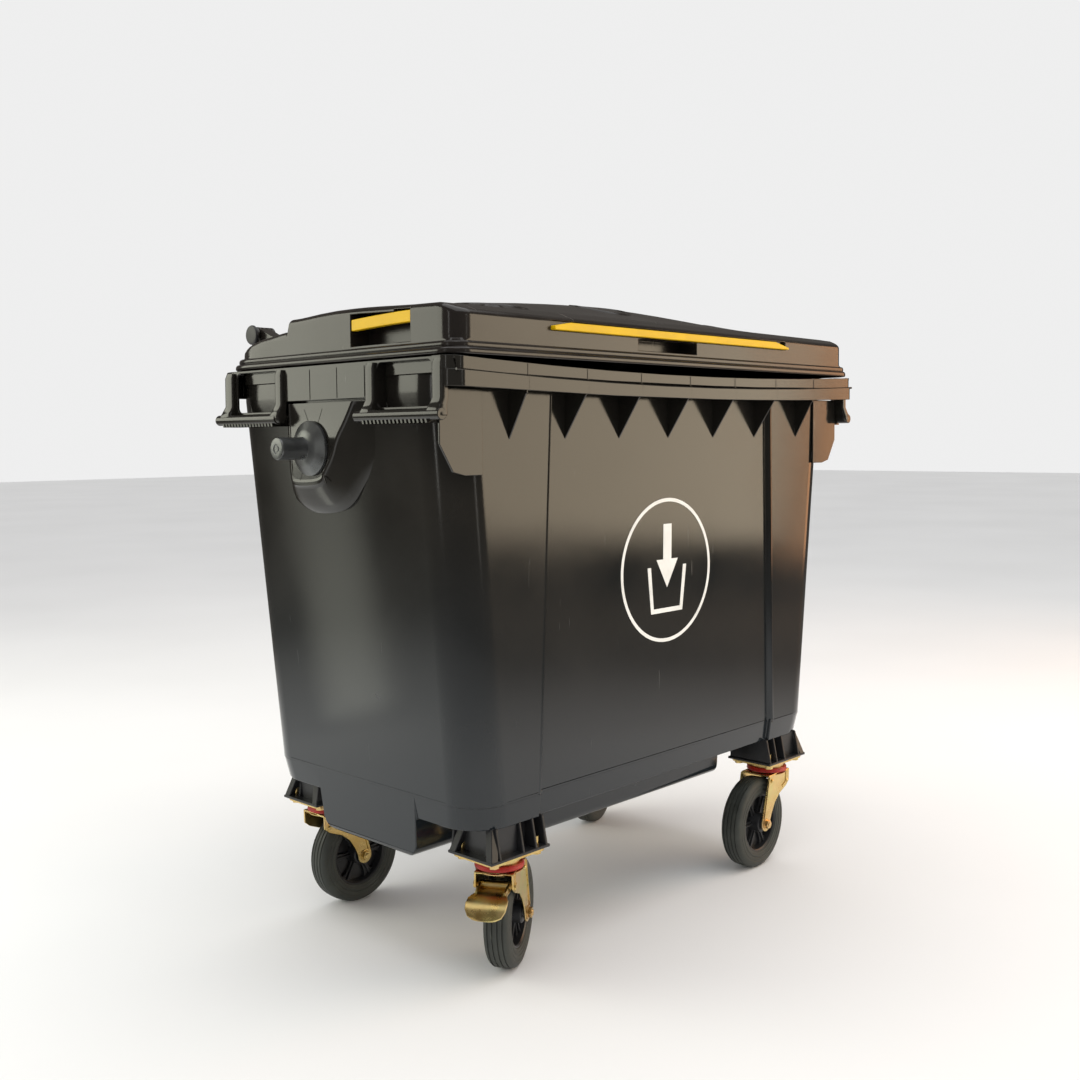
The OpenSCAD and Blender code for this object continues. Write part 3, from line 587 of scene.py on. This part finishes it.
def end_details(side):
    """Grooved end panel, posts, rolled grips with their ribs and the lip in each window."""
    name = "left" if side < 0 else "right"
    bm = bmesh.new()
    for y in (-162, -85, -6, 69):
        prism(bm, [(y - 1, 1037), (y + 1, 1037), (y + 1, 1090), (y - 1, 1090)],
            side * 616, side * 617.9)
    for y, wide in ((-355, 13), (-184, 12), (81, 11), (245, 14)):
        flared_post(bm, side, y, wide)
    make(f"end_posts_{name}", bm, "container", "container_moulding", smooth=50)
    bm = bmesh.new()
    for y0, y1 in ((-372, -156), (75, 272)):
        end = [(0.01, y0), (4, y0 + 0.9), (7.4, y0 + 3.2), (9.6, y0 + 7), (10, y0 + 11)]
        far = [(r, y1 - (y - y0)) for r, y in reversed(end)]
        turned(bm, end + far, (side * GRIP_X, 0, GRIP_Z), (0, 1, 0), 24)
    make(f"grips_{name}", bm, "container", "container_moulding", smooth=60)
    bm = bmesh.new()
    for y0, y1 in ((-340, -166), (88, 258)):
        for i in range(int((y1 - y0) / 10)):
            y = y0 + 10 * i
            outline = [(y, 1001), (y + 4.2, 1001), (y + 0.7, 990.5), (y - 3.5, 990.5)]
            prism(bm, outline, side * 600, side * 636)
    make(f"grip_ribs_{name}", bm, "container", "container_moulding", smooth=30)
    bm = bmesh.new()
    for y0, y1 in ((-330, -200), (97, 223)):
        prism(bm, [(y0, 1072), (y1, 1072), (y1, 1092), (y0, 1092)], side * 598, side * 600.5)
    make(f"window_lips_{name}", bm, "container", "container_moulding", smooth=30)


def about(outline, centre, share):
    """Outline scaled about a point."""
    return [tuple(c + (v - c) * share for v, c in zip(p, centre)) for p in outline]


def bracket(side):
    """Shield round the lifting pin: a lipped face with faint rays, and a flared skirt."""
    name = "left" if side < 0 else "right"
    face = softened([(-126, 1031), (-100, 993), (-74, 963), (-62, 932), (-36, 902), (-28, 883),
        (54, 879), (66, 888), (70, 1031)])
    root = softened([(-188, 1031), (-172, 984), (-156, 932), (-115, 885), (-79, 846), (-26, 832),
        (50, 832), (105, 867), (110, 1031)])
    rows = [
        ([tuple(f + (r - f) * share for f, r in zip(*pair)) for pair in zip(face, root)], x)
        for share, x in ((1, 574), (1, 583), (0.9, 588), (0.7, 593), (0.4, 600), (0.1, 606))
    ]
    rows += [
        (about(face, (-14, 1031), share), x)
        for share, x in ((1, 609), (0.985, 611.6), (0.96, 612.6), (0.93, 612.6), (0.91, 611.4))
    ]
    bm = bmesh.new()
    skin(bm, [[(side * x, y, z) for y, z in outline] for outline, x in rows], False, True)
    for y, z, lean in ((-34, 1006, -14), (20, 1006, 14), (-30, 900, 12), (26, 900, -12)):
        foot = y - lean
        ray = [(y - 0.8, z + 14), (y + 0.8, z + 14), (foot + 0.8, z - 12), (foot - 0.8, z - 12)]
        prism(bm, ray, side * 610.5, side * 612)
    make(f"bracket_{name}_moulded", bm, "container", "container_moulding", (f"bracket_{name}",),
        smooth=32)


def trunnion(side):
    """Lifting pin with a chamfered end and a conical flange."""
    name = "left" if side < 0 else "right"
    profile = [(0.01, 686), (5, 686), (6, 684.6), (8, 684.6), (9, 686), (16.5, 686), (18.8, 685),
        (20, 682.5), (20, 634), (20.6, 632), (24, 630.5), (31, 628.5), (34, 626), (47, 618.4), (49, 616.8),
        (49, 612.2), (47, 611.4), (10, 611.4), (10, 592), (0.01, 592)]
    bm = bmesh.new()
    turned(bm, profile, (0, 0, TRUNNION_Z), (side, 0, 0), 64)
    make(f"trunnion_{name}_turned", bm, "container", "dark_metal", (f"trunnion_{name}",), smooth=28)


def hinge_pin(side):
    """Headed hinge pin with a banded sleeve."""
    name = "left" if side < 0 else "right"
    centre = (0, HINGE_Y, HINGE_Z)
    head = [(0.01, 491.3), (15, 491.3), (18.6, 490.4), (20, 488.3), (20, 485.6), (18.8, 484.3), (8, 484.3),
        (7, 484.3), (7, 446), (7, 440), (10, 440), (10, 433.7), (0.01, 433.7)]
    bm = bmesh.new()
    turned(bm, head, centre, (side, 0, 0), 40)
    make(f"hinge_pin_{name}_turned", bm, "lid", "black_plastic", (f"hinge_pin_{name}",), smooth=30)


def hinge_arm(side):
    """Lid arm with a banded knuckle."""
    name = "left" if side < 0 else "right"
    low, high = side * (HINGE_IN + 0.8), side * (HINGE_OUT - 0.8)
    bm = bmesh.new()
    prism(bm, [(238, 1142), (262, 1132), (283, 1108), (297, 1118), (308, 1134), (366, 1168), (370, 1183),
        (364, 1198), (320, 1180), (260, 1162), (238, 1152)], low, high)
    round_edges(bm, 2.5)
    make(f"hinge_arm_{name}", bm, "lid", "lid_moulding")
    bm = bmesh.new()
    centre = (side * (HINGE_IN + HINGE_OUT) / 2, HINGE_Y, HINGE_Z)
    profile = [(7.2, -15.2), (15.5, -15.2), (17, -14), (17, -7), (15.6, -6), (15.6, -3), (17, -2), (17, 5),
        (15.6, 6), (15.6, 8), (17, 9), (17, 14), (15.5, 15.2), (7.2, 15.2)]
    turned(bm, profile, centre, (side, 0, 0), 40)
    make(f"hinge_knuckle_{name}", bm, "lid", "lid_moulding")


def block(bm, x0, x1, y0, y1):
    """Upright block between a castor mount's foot and the container's floor."""
    prism(bm, [(x0, y0), (x1, y0), (x1, y1), (x0, y1)], MOUNT_BASE + 1, MOUNT_TOP - 1, "z")


def castor_mount(key):
    """Black ribbed block between the container's floor and a castor plate."""
    low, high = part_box("plate_" + key)
    x, y = ((low + high) / 2 / MM).xy
    inward, out = math.copysign(1, -x), math.copysign(1, y)
    dx, dy = MOUNT_HALF
    bm = bmesh.new()
    foot = [(x - dx, y - dy), (x + dx, y - dy), (x + dx, y + dy), (x - dx, y + dy)]
    prism(bm, foot, MOUNT_BASE - 3, MOUNT_BASE + 2, "z")
    block(bm, x - 52, x + 52, y - out * 56, y + out * 26)
    block(bm, x - inward * 48, x + inward * 5, y + out * 20, y + out * 40)
    for offset in (-49, 8, 40, 66):
        at = x + inward * offset
        fin = [(y + out * 55, MOUNT_BASE), (y - out * 52, MOUNT_BASE), (y - out * 56, MOUNT_TOP),
            (y + out * 44, MOUNT_TOP)]
        prism(bm, fin, at - 2.5, at + 2.5, "x")
    for at, reach in ((y + out * 24, 58), (y - out * 50, 70)):
        fin = [(x - reach, MOUNT_BASE), (x + reach, MOUNT_BASE), (x + reach - 8, MOUNT_TOP),
            (x - reach + 8, MOUNT_TOP)]
        prism(bm, fin, at - 2.5, at + 2.5, "y")
    for way in (-1, 1):
        post = []
        for lean, z in ((0, MOUNT_BASE), (16, MOUNT_TOP)):
            outer, edge = x - inward * (72 - lean), y + way * (55 - lean)
            post.append([(outer, edge, z), (outer + inward * 16, edge, z),
                (outer + inward * 16, edge - way * 15, z), (outer, edge - way * 15, z)])
        skin(bm, post, True, True)
    round_edges(bm, 1.0, angle=60, segments=1)
    made = make(f"castor_mount_{key}", bm, "container", "black_plastic", smooth=30)
    if key == "fl":
        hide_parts("castor_mounts")


# ---------------------------------------------------------------- lid


# Places along and across the lid where its strips, pockets and steps start or end
LID_X = [-602, -470, -381, -300, -220, -145, -100, -55, -10, 35, 100, 160, 230, 300, 353, 470, 602]
LID_Y = [-330, -266, -225, -187, -147, -108, -60, -10, 30, 50, 62, 70, 75, 78, 81, 85, 92, 105,
    130, 165, 200, 230, 255]


def between(low, high, places):
    """Places clamped to a run, so that every ring has the same number of points."""
    return [min(max(p, low), high) for p in places]


def lid_ring(half, front, rear, r_front, r_rear, height):
    """Ring of the lid's outline, with points where its details start; height gives z."""
    r_front, r_rear = max(r_front, 0.5), max(r_rear, 0.5)
    xs = between(-half + r_front, half - r_front, LID_X)
    xs_rear = between(-half + r_rear, half - r_rear, LID_X)
    ys = between(-front + r_front, rear - r_rear, LID_Y)
    outline = (
        [(x, -front) for x in xs]
        + arc(half - r_front, -front + r_front, r_front, -90, 0, 8)
        + [(half, y) for y in ys]
        + arc(half - r_rear, rear - r_rear, r_rear, 0, 90, 10)
        + [(x, rear) for x in reversed(xs_rear)]
        + arc(-half + r_rear, rear - r_rear, r_rear, 90, 180, 10)
        + [(-half, y) for y in reversed(ys)]
        + arc(-half + r_front, -front + r_front, r_front, 180, 270, 8)
    )
    return [(x, y, height(x, y)) for x, y in outline]


def lid_base(y):
    """Height of the lid's deck along its ends."""
    front = 1172
    for rise, start, end in ((12, -376, -330), (6, -330, -95), (-5, -60, 60)):
        front += rise * smooth_step(y, start, end)
    low = 1164
    for fall, start, end in ((8, 80, 170), (20, 160, 262), (26, 235, 290)):
        low -= fall * smooth_step(y, start, end)
    step = smooth_step(y, 74, 82)
    return front * (1 - step) + low * step


def lid_deck(x, y):
    """Height of the deck with its crown."""
    crown = 45 * (1 - abs(x / LID_HALF) ** 1.8)
    rise = smooth_step(y, -372, -110) * (1 - 0.72 * smooth_step(y, 0, 82)) * (1 - smooth_step(y, 95, 285))
    return lid_base(y) + crown * rise


def deck_ring(inset, height):
    """Ring of the lid's upright wall, or of its deck where it is set in."""
    r_front, r_rear = (r - inset for r in LID_CORNERS)
    return lid_ring(LID_HALF - inset, LID_FRONT - inset, LID_REAR - inset, r_front, r_rear, height)


def lid_shell():
    """One moulded shell: beaded flange, upright wall, edge fillet and crowned deck."""
    bead = [(7, 1099), (2.5, 1099.4), (0.6, 1101), (0, 1104), (0.6, 1107), (3, 1109.5), (7, 1110.6),
        (8, 1111.6), (7.2, 1113), (7, 1116), (8.2, 1118.8), (11, 1120.6), (16, 1121)]
    sections = []
    for inset, z in bead:
        sections.append(
            lid_ring(618 - inset, 386 - 0.62 * inset, 300 - inset, 40 - inset, 100 - inset, lambda x, y: z)
        )
    fillet = 10
    for row in (1125, 1135, 1149, 1163, 1168):
        sections.append(deck_ring(0, lambda x, y: min(row, lid_base(y) - fillet)))
    for turn in (0, 22.5, 45, 67.5, 90):
        inset = fillet * (1 - math.cos(math.radians(turn)))
        drop = fillet * (1 - math.sin(math.radians(turn)))
        sections.append(deck_ring(inset, lambda x, y: lid_deck(x, y) - drop))
    # Rings over the deck, closest where its step crosses the middle
    for inset in (16, 26, 40, 58, 80, 105, 130, 155, 175, 190, 197, 201, 204, 207, 210, 214, 220, 230,
            245, 265, 290, 310, 325, 329.5):
        sections.append(deck_ring(inset, lid_deck))
    bm = bmesh.new()
    last = skin(bm, sections)
    bmesh.ops.contextual_create(bm, geom=last)
    bmesh.ops.remove_doubles(bm, verts=bm.verts, dist=0.00005)
    bmesh.ops.recalc_face_normals(bm, faces=bm.faces)
    # Hand pockets in both ends, the recess under the front grip and its finger pocket
    for side in (-1, 1):
        press(bm, ((side * LID_HALF, -266, 1125), (side * LID_HALF, -108, 1177)), (-side * 42, 0, 0))
    press(bm, ((-381, -LID_FRONT, 1149), (353, -LID_FRONT, 1163)), (0, 8, 0))
    press(bm, ((-145, -LID_FRONT, 1125), (35, -LID_FRONT, 1149)), (0, 44, 0))
    creases = [e for e in sharp(bm, 50) if min(v.co.z for v in e.verts) > 1.1215]
    bmesh.ops.bevel(
        bm, geom=creases, offset=1.6 * MM, offset_type="OFFSET", segments=2, profile=0.5,
        affect="EDGES", clamp_overlap=True, material=-1,
    )
    make("lid_moulded", bm, "lid", "lid_moulding", ("lid_shell",), smooth=40, wall=4)


def deck_rings():
    """Raised moulded rings on the deck."""
    bm = bmesh.new()
    for x0, y0, radii in ((-375, -225, (68, 58, 20)), (-20, -175, (62, 52)), (375, -225, (68, 58, 20))):
        for r in radii:
            sections = []
            for inset, rise in ((-2.4, -0.6), (-1.3, 1.3), (1.3, 1.3), (2.4, -0.6)):
                circle = arc(x0, y0, r + inset, 0, 357.5, 63 if r > 30 else 31)
                sections.append([(x, y, lid_deck(x, y) + rise) for x, y in circle])
            skin(bm, sections)
    make("deck_rings", bm, "lid", "lid_moulding", smooth=60)


def front_grip():
    """Yellow strip with tapered ends along the lid's front."""
    bm = bmesh.new()
    prism(bm, [(-380.5, 1149), (352.5, 1149), (352.5, 1153), (303, 1162.8), (-339, 1162.8), (-380.5, 1156)],
        -385.5, -368, "y")
    round_edges(bm, 1.6, segments=3)
    make("grip_strip_front_moulded", bm, "lid", "yellow_grip", ("grip_strip_front",))


def end_grip(side):
    """Arched yellow strip in an end pocket."""
    name = "left" if side < 0 else "right"
    bm = bmesh.new()
    top = [(-265.6 + 157.2 * i / 12, 1176.6 - 5.5 * (i / 12) ** 1.6) for i in range(13)]
    low = [(y, z - 19.5) for y, z in reversed(top)]
    prism(bm, low + top, side * 588, side * 600.5)
    round_edges(bm, 1.5, segments=3)
    make(f"grip_strip_{name}_moulded", bm, "lid", "yellow_grip", (f"grip_strip_{name}",))


# ---------------------------------------------------------------- castors


def castor_frame(key):
    """Place of a castor: its king pin's foot and its turn about Z."""
    low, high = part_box("plate_" + key)
    middle = (low + high) / 2
    return Matrix.Translation((middle.x, middle.y, 0)) @ Matrix.Rotation(math.radians(CASTORS[key]), 4, "Z")


def place(bm, key):
    """Moves a mesh made about the king pin to its castor."""
    bmesh.ops.transform(bm, matrix=castor_frame(key), verts=bm.verts)


def tyre(key):
    """Solid tyre with four tread grooves and ringed sides."""
    side = [(64.1, 20), (66, 22), (70, 22.6), (71, 23.6), (74.5, 23.8), (75.5, 22.9), (77, 22.9), (78, 24),
        (83, 24), (84, 23.2), (85.5, 23.2), (86.5, 23.9), (90, 23.6), (93.5, 22.4), (96.5, 20), (98.6, 17)]
    half_tread = [(99.2, 15.2), (97.4, 14.6), (97.4, 13), (99.5, 12.4), (99.8, 6.2), (98, 5.6),
        (98, 4), (100, 3.4)]
    half = side + half_tread
    profile = half + [(r, -t) for r, t in reversed(half)]
    bm = bmesh.new()
    turned(bm, profile, (TRAIL, 0, AXLE_Z), (0, 1, 0), 72)
    place(bm, key)
    make("tyre_" + key + "_moulded", bm, "wheel_" + key, "tyre_rubber", ("tyre_" + key,), smooth=24)


def wheel_centre(key):
    """Plastic centre: dished rim, six ribbed spokes on a closed web and a stepped hub."""
    bm = bmesh.new()
    centre = (TRAIL, 0, AXLE_Z)
    rim = [(64.05, -20), (62, -20), (59.5, -18), (57.5, -6), (57.5, 6), (59.5, 18), (62, 20), (64.05, 20)]
    turned(bm, rim, centre, (0, 1, 0), 60)
    hub = [(11.1, -27), (18, -27), (20, -25), (21, -12), (24, -5), (24, 5), (21, 12), (20, 25), (18, 27),
        (11.1, 27)]
    turned(bm, hub, centre, (0, 1, 0), 40)
    turned(bm, [(23.5, -2), (58, -2), (58, 2), (23.5, 2), (23.5, -2)], centre, (0, 1, 0), 60)
    for i in range(6):
        turn = Matrix.Rotation(math.radians(60 * i), 2)
        spoke = [(19, -7), (34, -5), (50, -8), (58.6, -14), (58.6, 14), (50, 8), (34, 5), (19, 7)]
        rib = [(19, -1.6), (58.6, -1.6), (58.6, 1.6), (19, 1.6)]
        for outline, deep in ((spoke, 9), (rib, 13)):
            placed = [turn @ Vector(p) for p in outline]
            prism(bm, [(p[0] + TRAIL, p[1] + AXLE_Z) for p in placed], -deep, deep, "y")
    round_edges(bm, 0.8, angle=60, segments=1)
    place(bm, key)
    make("wheel_centre_" + key + "_moulded", bm, "wheel_" + key, "black_plastic", ("wheel_centre_" + key,))


def fork(key):
    """Pressed fork: crown, tapered legs with folded edges, rivets."""
    bm = bmesh.new()
    foot = arc(TRAIL, AXLE_Z, 17, 180, 375, 10)
    outline = [(-40, 205), (-39, 178), (-26, 168), (4, 156), (24, 140), (38, 118), (44, 104)]
    outline += foot + [(66, 150), (52, 190), (50, 205)]
    for side in (-1, 1):
        prism(bm, outline, side * 32, side * 36, "y")
    prism(bm, [(-40, -36), (50, -36), (50, 36), (-40, 36)], 202, 206, "z")
    round_edges(bm, 1.6, segments=2)
    dome = [(8.2, 206), (28, 206), (33, 205.6), (41, 204.6), (43, 203.4), (43, 202), (8.2, 202)]
    turned(bm, dome, (0, 0, 0), (0, 0, 1), 48)
    for side in (-1, 1):
        rib = [(-30, 203), (-30, 176), (-10, 168), (-6, 172), (-22, 180), (-24, 203)]
        prism(bm, rib, side * 35.5, side * 37.4, "y")
        fold = [(47, 203), (50, 203), (63, 150), (73, 112), (70, 110), (60, 148)]
        prism(bm, fold, side * 35.2, side * 37.6, "y")
        for x, z in ((38, 192), (-27, 180)):
            head = [(0.01, 39.2), (2.4, 39), (4, 38), (4.6, 36.4), (4.6, 35.5)]
            turned(bm, head, (x, 0, z), (0, side, 0), 16)
    place(bm, key)
    make("fork_" + key + "_pressed", bm, "fork_" + key, "passivated_zinc", ("fork_" + key,), smooth=28)


def axle(key):
    """Axle bolt with a domed head, washers and a collared nut."""
    bm = bmesh.new()
    centre = (TRAIL, 0, AXLE_Z)
    for side in (-1, 1):
        washer = [(6, 36), (12.5, 36), (12.5, 37.6), (6, 37.6)]
        turned(bm, washer, centre, (0, side, 0), 32)
        prism(bm, arc(TRAIL, AXLE_Z, 10, 0, 300, 5), side * 37.4, side * 43.6, "y")
    round_edges(bm, 0.7, angle=40)
    bolt = [(0.01, -45.6), (5, -45.6), (6, -44.6), (6, 44.6), (5, 45.6), (0.01, 45.6)]
    turned(bm, bolt, centre, (0, 1, 0), 24)
    place(bm, key)
    make("axle_" + key + "_bolt", bm, "fork_" + key, "passivated_zinc", ("axle_" + key,))


def seal_rings():
    """Red dust seals with a rounded lip under the castor plates."""
    bm = bmesh.new()
    for key in CASTORS:
        spot = castor_frame(key).translation / MM
        lip = [(38.2, 207.4), (43, 207.4), (44.6, 208.4), (45, 210.4), (44.2, 212), (43.6, 213.6),
            (44.4, 215.4), (43, 217.2), (38.2, 217.2), (38.2, 207.4)]
        turned(bm, lip, (spot.x, spot.y, 0), (0, 0, 1), 48)
    make("seal_rings_moulded", bm, "container", "red_seal", ("seal_rings",), smooth=40)


def brake(key):
    """Curved foot pedal with rolled edges, on a yoke round its pivot."""
    side = [(-31, 175.5), (-60, 176.5), (-76, 174), (-88, 169), (-97, 161), (-103, 152), (-106, 148.5)]
    half_width = [29, 29, 36, 37, 36, 30, 20]
    last = len(side) - 1
    bm = bmesh.new()
    bmesh.ops.create_grid(bm, x_segments=last, y_segments=6, size=1)
    for v in bm.verts:
        row, across = round((v.co.x + 1) / 2 * last), v.co.y
        x, z = side[row]
        cup = 3.5 * row / last * (1 - across * across)
        v.co = Vector((x, across * half_width[row], z - cup)) * MM
    bmesh.ops.recalc_face_normals(bm, faces=bm.faces)
    bmesh.ops.solidify(bm, geom=bm.faces, thickness=-4 * MM)
    for y in (-26, 26):
        prism(bm, [(-34, 186), (-20, 186), (-20, 173), (-34, 173), (-60, 168), (-66, 172), (-60, 180)],
            y - 2, y + 2, "y")
    round_edges(bm, 0.9, angle=50, segments=2)
    sleeve = [(4.1, -29), (7.6, -29), (8, -28.4), (8, 28.4), (7.6, 29), (4.1, 29)]
    turned(bm, sleeve, (-27, 0, 180), (0, 1, 0), 24)
    place(bm, key)
    make("brake_pedal_" + key + "_pressed", bm, "pedal_" + key, "passivated_zinc",
        ("brake_pedal_" + key,))


# ---------------------------------------------------------------- stage


def soft_box(name, at, aim, size, glow, colour):
    """Rectangular lamp of an even brightness, which only light and reflections show."""
    data = bpy.data.lights.new(name, "AREA")
    data.shape = "RECTANGLE"
    data.size, data.size_y = size
    data.energy = glow * math.pi * size[0] * size[1]
    data.color = colour
    light = bpy.data.objects.new(name, data)
    light.location = at
    light.rotation_euler = (Vector(aim) - Vector(at)).to_track_quat("-Z", "Y").to_euler()
    light.visible_camera = False
    bpy.context.scene.collection.objects.link(light)


def backdrop():
    """Pale for the eye and for soft light, dim in reflections, so that gloss shows the soft boxes."""
    world = bpy.data.worlds.new("studio")
    bpy.context.scene.world = world
    world.use_nodes = True
    tree = world.node_tree
    pale = tree.nodes["Background"]
    pale.inputs["Color"].default_value = (0.86, 0.86, 0.86, 1)
    dim = tree.nodes.new("ShaderNodeBackground")
    dim.inputs["Color"].default_value = (0.13, 0.12, 0.11, 1)
    ray = tree.nodes.new("ShaderNodeLightPath")
    either = tree.nodes.new("ShaderNodeMixShader")
    tree.links.new(ray.outputs["Is Glossy Ray"], either.inputs["Fac"])
    tree.links.new(pale.outputs["Background"], either.inputs[1])
    tree.links.new(dim.outputs["Background"], either.inputs[2])
    tree.links.new(either.outputs["Shader"], tree.nodes["World Output"].inputs["Surface"])


def floor_finish():
    """Pale floor, which reflections show only near the container."""
    made = surface("pale_floor", ((0.80, 0.80, 0.80), (0.83, 0.83, 0.83)), rough=(0.75, 0.85), patch=0.7,
        scratch=(0.8, 0.8, 0.8), scratch_rough=0)
    tree = made.node_tree
    shader = tree.nodes["Principled BSDF"]
    where, length = tree.nodes.new("ShaderNodeTexCoord"), tree.nodes.new("ShaderNodeVectorMath")
    length.operation = "LENGTH"
    tree.links.new(where.outputs["Object"], length.inputs[0])
    ray, both = tree.nodes.new("ShaderNodeLightPath"), tree.nodes.new("ShaderNodeMath")
    both.operation = "MULTIPLY"
    tree.links.new(ray.outputs["Is Glossy Ray"], both.inputs[0])
    tree.links.new(ranged(tree, length.outputs["Value"], 0, 1, 1.5, 2.8), both.inputs[1])
    old = shader.inputs["Base Color"].links[0].from_socket
    tree.links.new(mix(tree, both.outputs["Value"], old, (0.12, 0.11, 0.10)), shader.inputs["Base Color"])
    return made


def studio():
    """Pale floor and large soft boxes."""
    bpy.context.scene.view_settings.view_transform = "Standard"
    bm = bmesh.new()
    bmesh.ops.create_grid(bm, x_segments=1, y_segments=1, size=30)
    mesh = bpy.data.meshes.new("floor")
    bm.to_mesh(mesh)
    bm.free()
    floor = bpy.data.objects.new("floor", mesh)
    bpy.context.scene.collection.objects.link(floor)
    mesh.materials.append(floor_finish())
    backdrop()
    soft_box("overhead", (0, -0.6, 4.2), (0, -0.3, 0), (4.5, 4.5), 1.3, (1.0, 1.0, 1.0))
    soft_box("front_card", (3.1, -3.38, 1.5), (0, -0.3, 0.9), (2.45, 2.4), 3.4, (1.0, 0.83, 0.60))
    soft_box("rear_card", (-2.9, 3.0, 2.0), (-0.6, 0, 1.0), (2.6, 2.3), 2.9, (1.0, 1.0, 0.84))
    soft_box("end_strip", (-1.28, 1.0, 0.52), (-0.56, 0.1, 0.52), (0.18, 0.98), 1.0, (0.98, 1.0, 0.86))
    soft_box("corner_strip", (-3.4, -0.5, 1.3), (-0.5, -0.3, 0.8), (0.16, 2.2), 2.6, (1.0, 1.0, 0.95))
    soft_box("corner_strip_2", (0.2, -3.6, 1.3), (-0.5, -0.3, 0.8), (0.12, 2.2), 2.4, (1.0, 0.97, 0.9))
    soft_box("warm_side", (4.25, -1.9, 1.4), (0, -0.3, 0.9), (1.25, 2.4), 3.4, (1.0, 0.5, 0.24))


def camera():
    """Camera at the fitted viewpoint: position in metres, angles in degrees."""
    data = bpy.data.cameras.new("camera")
    data.lens = 40.52
    data.sensor_width = 36
    data.shift_x = 0.0011
    data.shift_y = -0.0199
    yaw, rise, roll = (math.radians(a) for a in (-46.27, 3.683, -0.523))
    back = Vector((math.sin(yaw) * math.cos(rise), -math.cos(yaw) * math.cos(rise), math.sin(rise)))
    side = (-back).cross(Vector((0, 0, 1))).normalized()
    top = side.cross(-back)
    right = side * math.cos(roll) + top * math.sin(roll)
    up = top * math.cos(roll) - side * math.sin(roll)
    view = Matrix((right, up, back)).transposed().to_4x4()
    view.translation = (-1.9086, -1.8040, 0.9609)
    eye = bpy.data.objects.new("camera", data)
    eye.matrix_world = view
    bpy.context.scene.collection.objects.link(eye)
    bpy.context.scene.camera = eye


camera()
studio()
dress_cad_nodes()
tub_walls()
tub_floor()
rounded_mouldings()
fascia_seams()
fascia_ridge()
for side in (-1, 1):
    end_details(side)
    bracket(side)
    trunnion(side)
    hinge_pin(side)
    hinge_arm(side)
    end_grip(side)
lid_shell()
deck_rings()
front_grip()
seal_rings()
for key in CASTORS:
    castor_mount(key)
    tyre(key)
    wheel_centre(key)
    fork(key)
    axle(key)
for key in BRAKED:
    brake(key)
